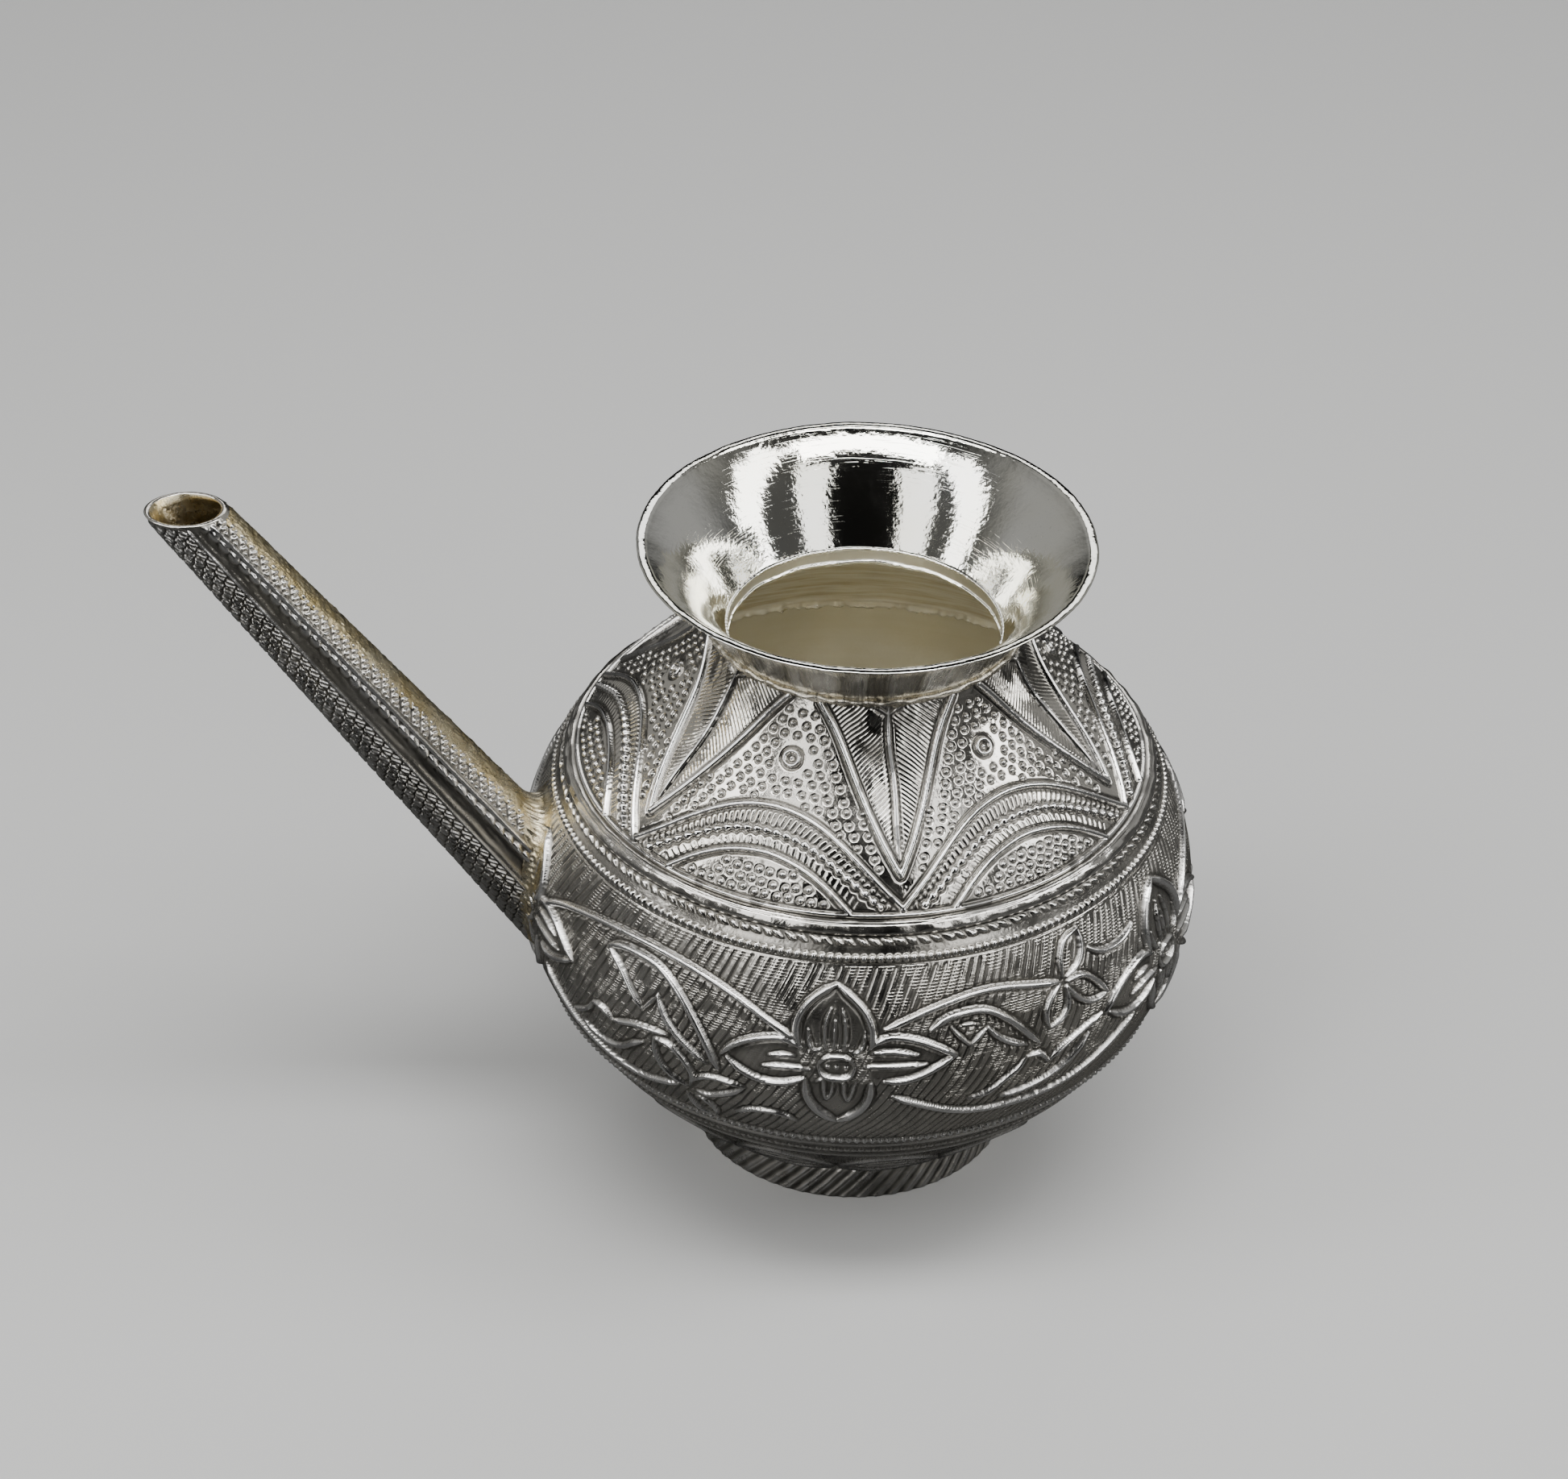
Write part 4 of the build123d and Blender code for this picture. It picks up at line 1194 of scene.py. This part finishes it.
def root_web():
    """The web of solder where the spout meets the belly, highest over its top."""
    a = bearings(420 // FINE)
    base = meets_wall(a)
    tube_r = ROOT_R - TAPER * base
    high = np.clip(np.sin(a), 0, 1)
    up = 2.1 + 3.4 * high**3 + 0.5 * wavy(a, 95, 6, 3, 14)
    out = 1.7 + 3.6 * high**3 + 0.5 * wavy(a, 96, 6, 3, 14)
    at_tube = spout_place(a, base + up, ROOT_R - TAPER * (base + up) - 0.05)
    corner = spout_place(a, base + 0.25, tube_r + 0.25)
    spread = spout_place(a, base, tube_r + out)
    around = np.arctan2(spread[..., 0], -spread[..., 1])
    r, z, _, _ = wall_at(s_at(spread[..., 2]))
    on_wall = turned(r - 0.05, z, around)
    away = corner - spout_place(a, base, 0.0)
    away = away / np.linalg.norm(away, axis=-1, keepdims=True)
    u = np.linspace(0, 1, 26)[:, None]
    lump = 0.1 * blotch(a, u * 6.0, 97, 3.0) * np.sin(np.pi * u)
    u = u[..., None]
    web = (1 - u) ** 2 * at_tube + 2 * u * (1 - u) * corner + u * u * on_wall + away * lump[..., None]
    hidden = spout_place(a, base - 0.2, tube_r - 0.2)
    obj = grid_mesh("spout_root_solder", np.concatenate([web, hidden]), wrap_rows=True, across=TURN * 7)
    settle(obj, "spout_solder", "solder", root_solder)


root_web()

# ------------------------------------------------------------ floor, light, camera
FLOOR_SIZE = 14.0                          # metres
FLOOR_TO_EYE, FLOOR_IN_MIRROR = 0.62, 0.028
TENT_SIDE, TENT_DIM, TENT_SEEN = 0.29, 0.04, 0.6
TENT_COLOUR = (1.0, 1.0, 0.985, 1)


def pale_floor():
    """Pale for the camera and dark in the pot's reflections; far off it fades into the backdrop."""
    half = FLOOR_SIZE / 2
    mesh = bpy.data.meshes.new("floor")
    corners = [(-half, -half, 0), (half, -half, 0), (half, half, 0), (-half, half, 0)]
    mesh.from_pydata(corners, [], [(0, 1, 2, 3)])
    floor = bpy.data.objects.new("floor", mesh)
    scene.collection.objects.link(floor)
    paint = bpy.data.materials.new("pale floor")
    paint.use_nodes = True
    f = Nodes(paint.node_tree)
    shader = f.tree.nodes["Principled BSDF"]
    ray = f.add("ShaderNodeLightPath").outputs
    eye, mirror = FLOOR_TO_EYE, FLOOR_IN_MIRROR
    tone = f.mix(ray["Is Glossy Ray"], (eye, eye, eye * 0.985, 1), (mirror, mirror, mirror * 0.97, 1))
    f.put(shader.inputs["Base Color"], tone)
    f.put(shader.inputs["Roughness"], 0.55)
    spot = f.add("ShaderNodeTexCoord").outputs["Object"]
    reach = f.add("ShaderNodeVectorMath", spot, operation="LENGTH").outputs["Value"]
    fade = f.span(reach, 0.3, 1.0, interpolation_type="SMOOTHSTEP")
    share = f.times(fade, ray["Is Camera Ray"])
    backdrop = f.add("ShaderNodeEmission", TENT_COLOUR, TENT_SEEN).outputs[0]
    blend = f.add("ShaderNodeMixShader", share, shader.outputs[0], backdrop).outputs[0]
    f.put(f.tree.nodes["Material Output"].inputs["Surface"], blend)
    mesh.materials.append(paint)


pale_floor()

EYE = Vector((-0.0708, -0.4622, 0.3907))
MIDDLE = Vector((-0.012, 0, 0.055))


def light_tent():
    """Pale at the sides and dim behind, with a dark opening where the camera looks in."""
    world = bpy.data.worlds.new("studio")
    world.use_nodes = True
    scene.world = world
    f = Nodes(world.node_tree)
    opening = (EYE - MIDDLE) * Vector((1, 1, 0))
    opening.normalize()
    across = (opening.y, -opening.x, 0)
    toward = f.add("ShaderNodeTexCoord").outputs["Generated"]

    def ramp(vector, low, high, to_low, to_high, fold=False):
        """A smooth ramp along a direction of the sky; fold makes it the same on both sides."""
        along = f.add("ShaderNodeVectorMath", toward, vector, operation="DOT_PRODUCT").outputs["Value"]
        if fold:
            along = f.math("ABSOLUTE", along)
        return f.span(along, low, high, to_low, to_high, interpolation_type="SMOOTHSTEP")

    sides = ramp(across, 0.25, 0.7, 0.0, TENT_SIDE, fold=True)
    behind = ramp((0, 1, 0), -0.1, 0.45, 0.12, 1.0)
    slot = ramp(across, 0.3, 0.42, 0.15, 1.0, fold=True)
    level = f.math("ADD", f.times(sides, behind), f.times(slot, TENT_DIM))
    seen = f.add("ShaderNodeLightPath").outputs["Is Camera Ray"]
    glow = f.add("ShaderNodeMix", seen, data_type="FLOAT")
    f.put(glow.inputs[2], level)
    f.put(glow.inputs[3], TENT_SEEN)
    background = f.tree.nodes["Background"]
    f.put(background.inputs["Strength"], glow.outputs[0])
    f.put(background.inputs["Color"], TENT_COLOUR)


light_tent()


def softbox(name, bearing, climb, distance, width, height, glow_level):
    """A rectangular lamp at a bearing from the front toward +X and a height angle, degrees."""
    bearing, climb = bearing * DEG, climb * DEG
    flat = np.cos(climb) * distance
    place = MIDDLE + Vector((np.sin(bearing) * flat, -np.cos(bearing) * flat, np.sin(climb) * distance))
    light = bpy.data.lights.new(name, "AREA")
    light.shape = "RECTANGLE"
    light.size, light.size_y = width, height
    light.energy = glow_level * np.pi * width * height
    obj = bpy.data.objects.new(name, light)
    obj.location = place
    obj.rotation_euler = (place - MIDDLE).to_track_quat("Z", "Y").to_euler()
    scene.collection.objects.link(obj)


softbox("top light", -6, 76, 0.70, 0.60, 0.19, 10.5)
softbox("front panel left", -43, 34, 0.75, 0.27, 0.62, 2.5)
softbox("front panel right", 33, 34, 0.75, 0.23, 0.62, 2.5)
softbox("side lamp left", -81, 42, 0.75, 0.22, 0.62, 4.8)
softbox("side lamp right", 78, 42, 0.75, 0.22, 0.62, 6.0)
softbox("back lamp", 168, 38, 0.85, 0.55, 0.22, 2.5)

LOOK_AT = Vector((-0.0098, 0.0013, 0.0593))
ROLL = 1.288 * DEG
camera_data = bpy.data.cameras.new("camera")
camera_data.lens = 101.75
camera_data.sensor_width = 36.0
camera_data.sensor_fit = "HORIZONTAL"
camera_data.clip_start = 0.01
camera_data.clip_end = 50.0
camera = bpy.data.objects.new("camera", camera_data)
facing = (EYE - LOOK_AT).to_track_quat("Z", "Y").to_matrix().to_4x4()
camera.matrix_world = Matrix.Translation(EYE) @ facing @ Matrix.Rotation(ROLL, 4, "Z")
scene.collection.objects.link(camera)
scene.camera = camera
# light goes back and forth many times inside the pot
scene.cycles.glossy_bounces = 10
scene.cycles.diffuse_bounces = 8
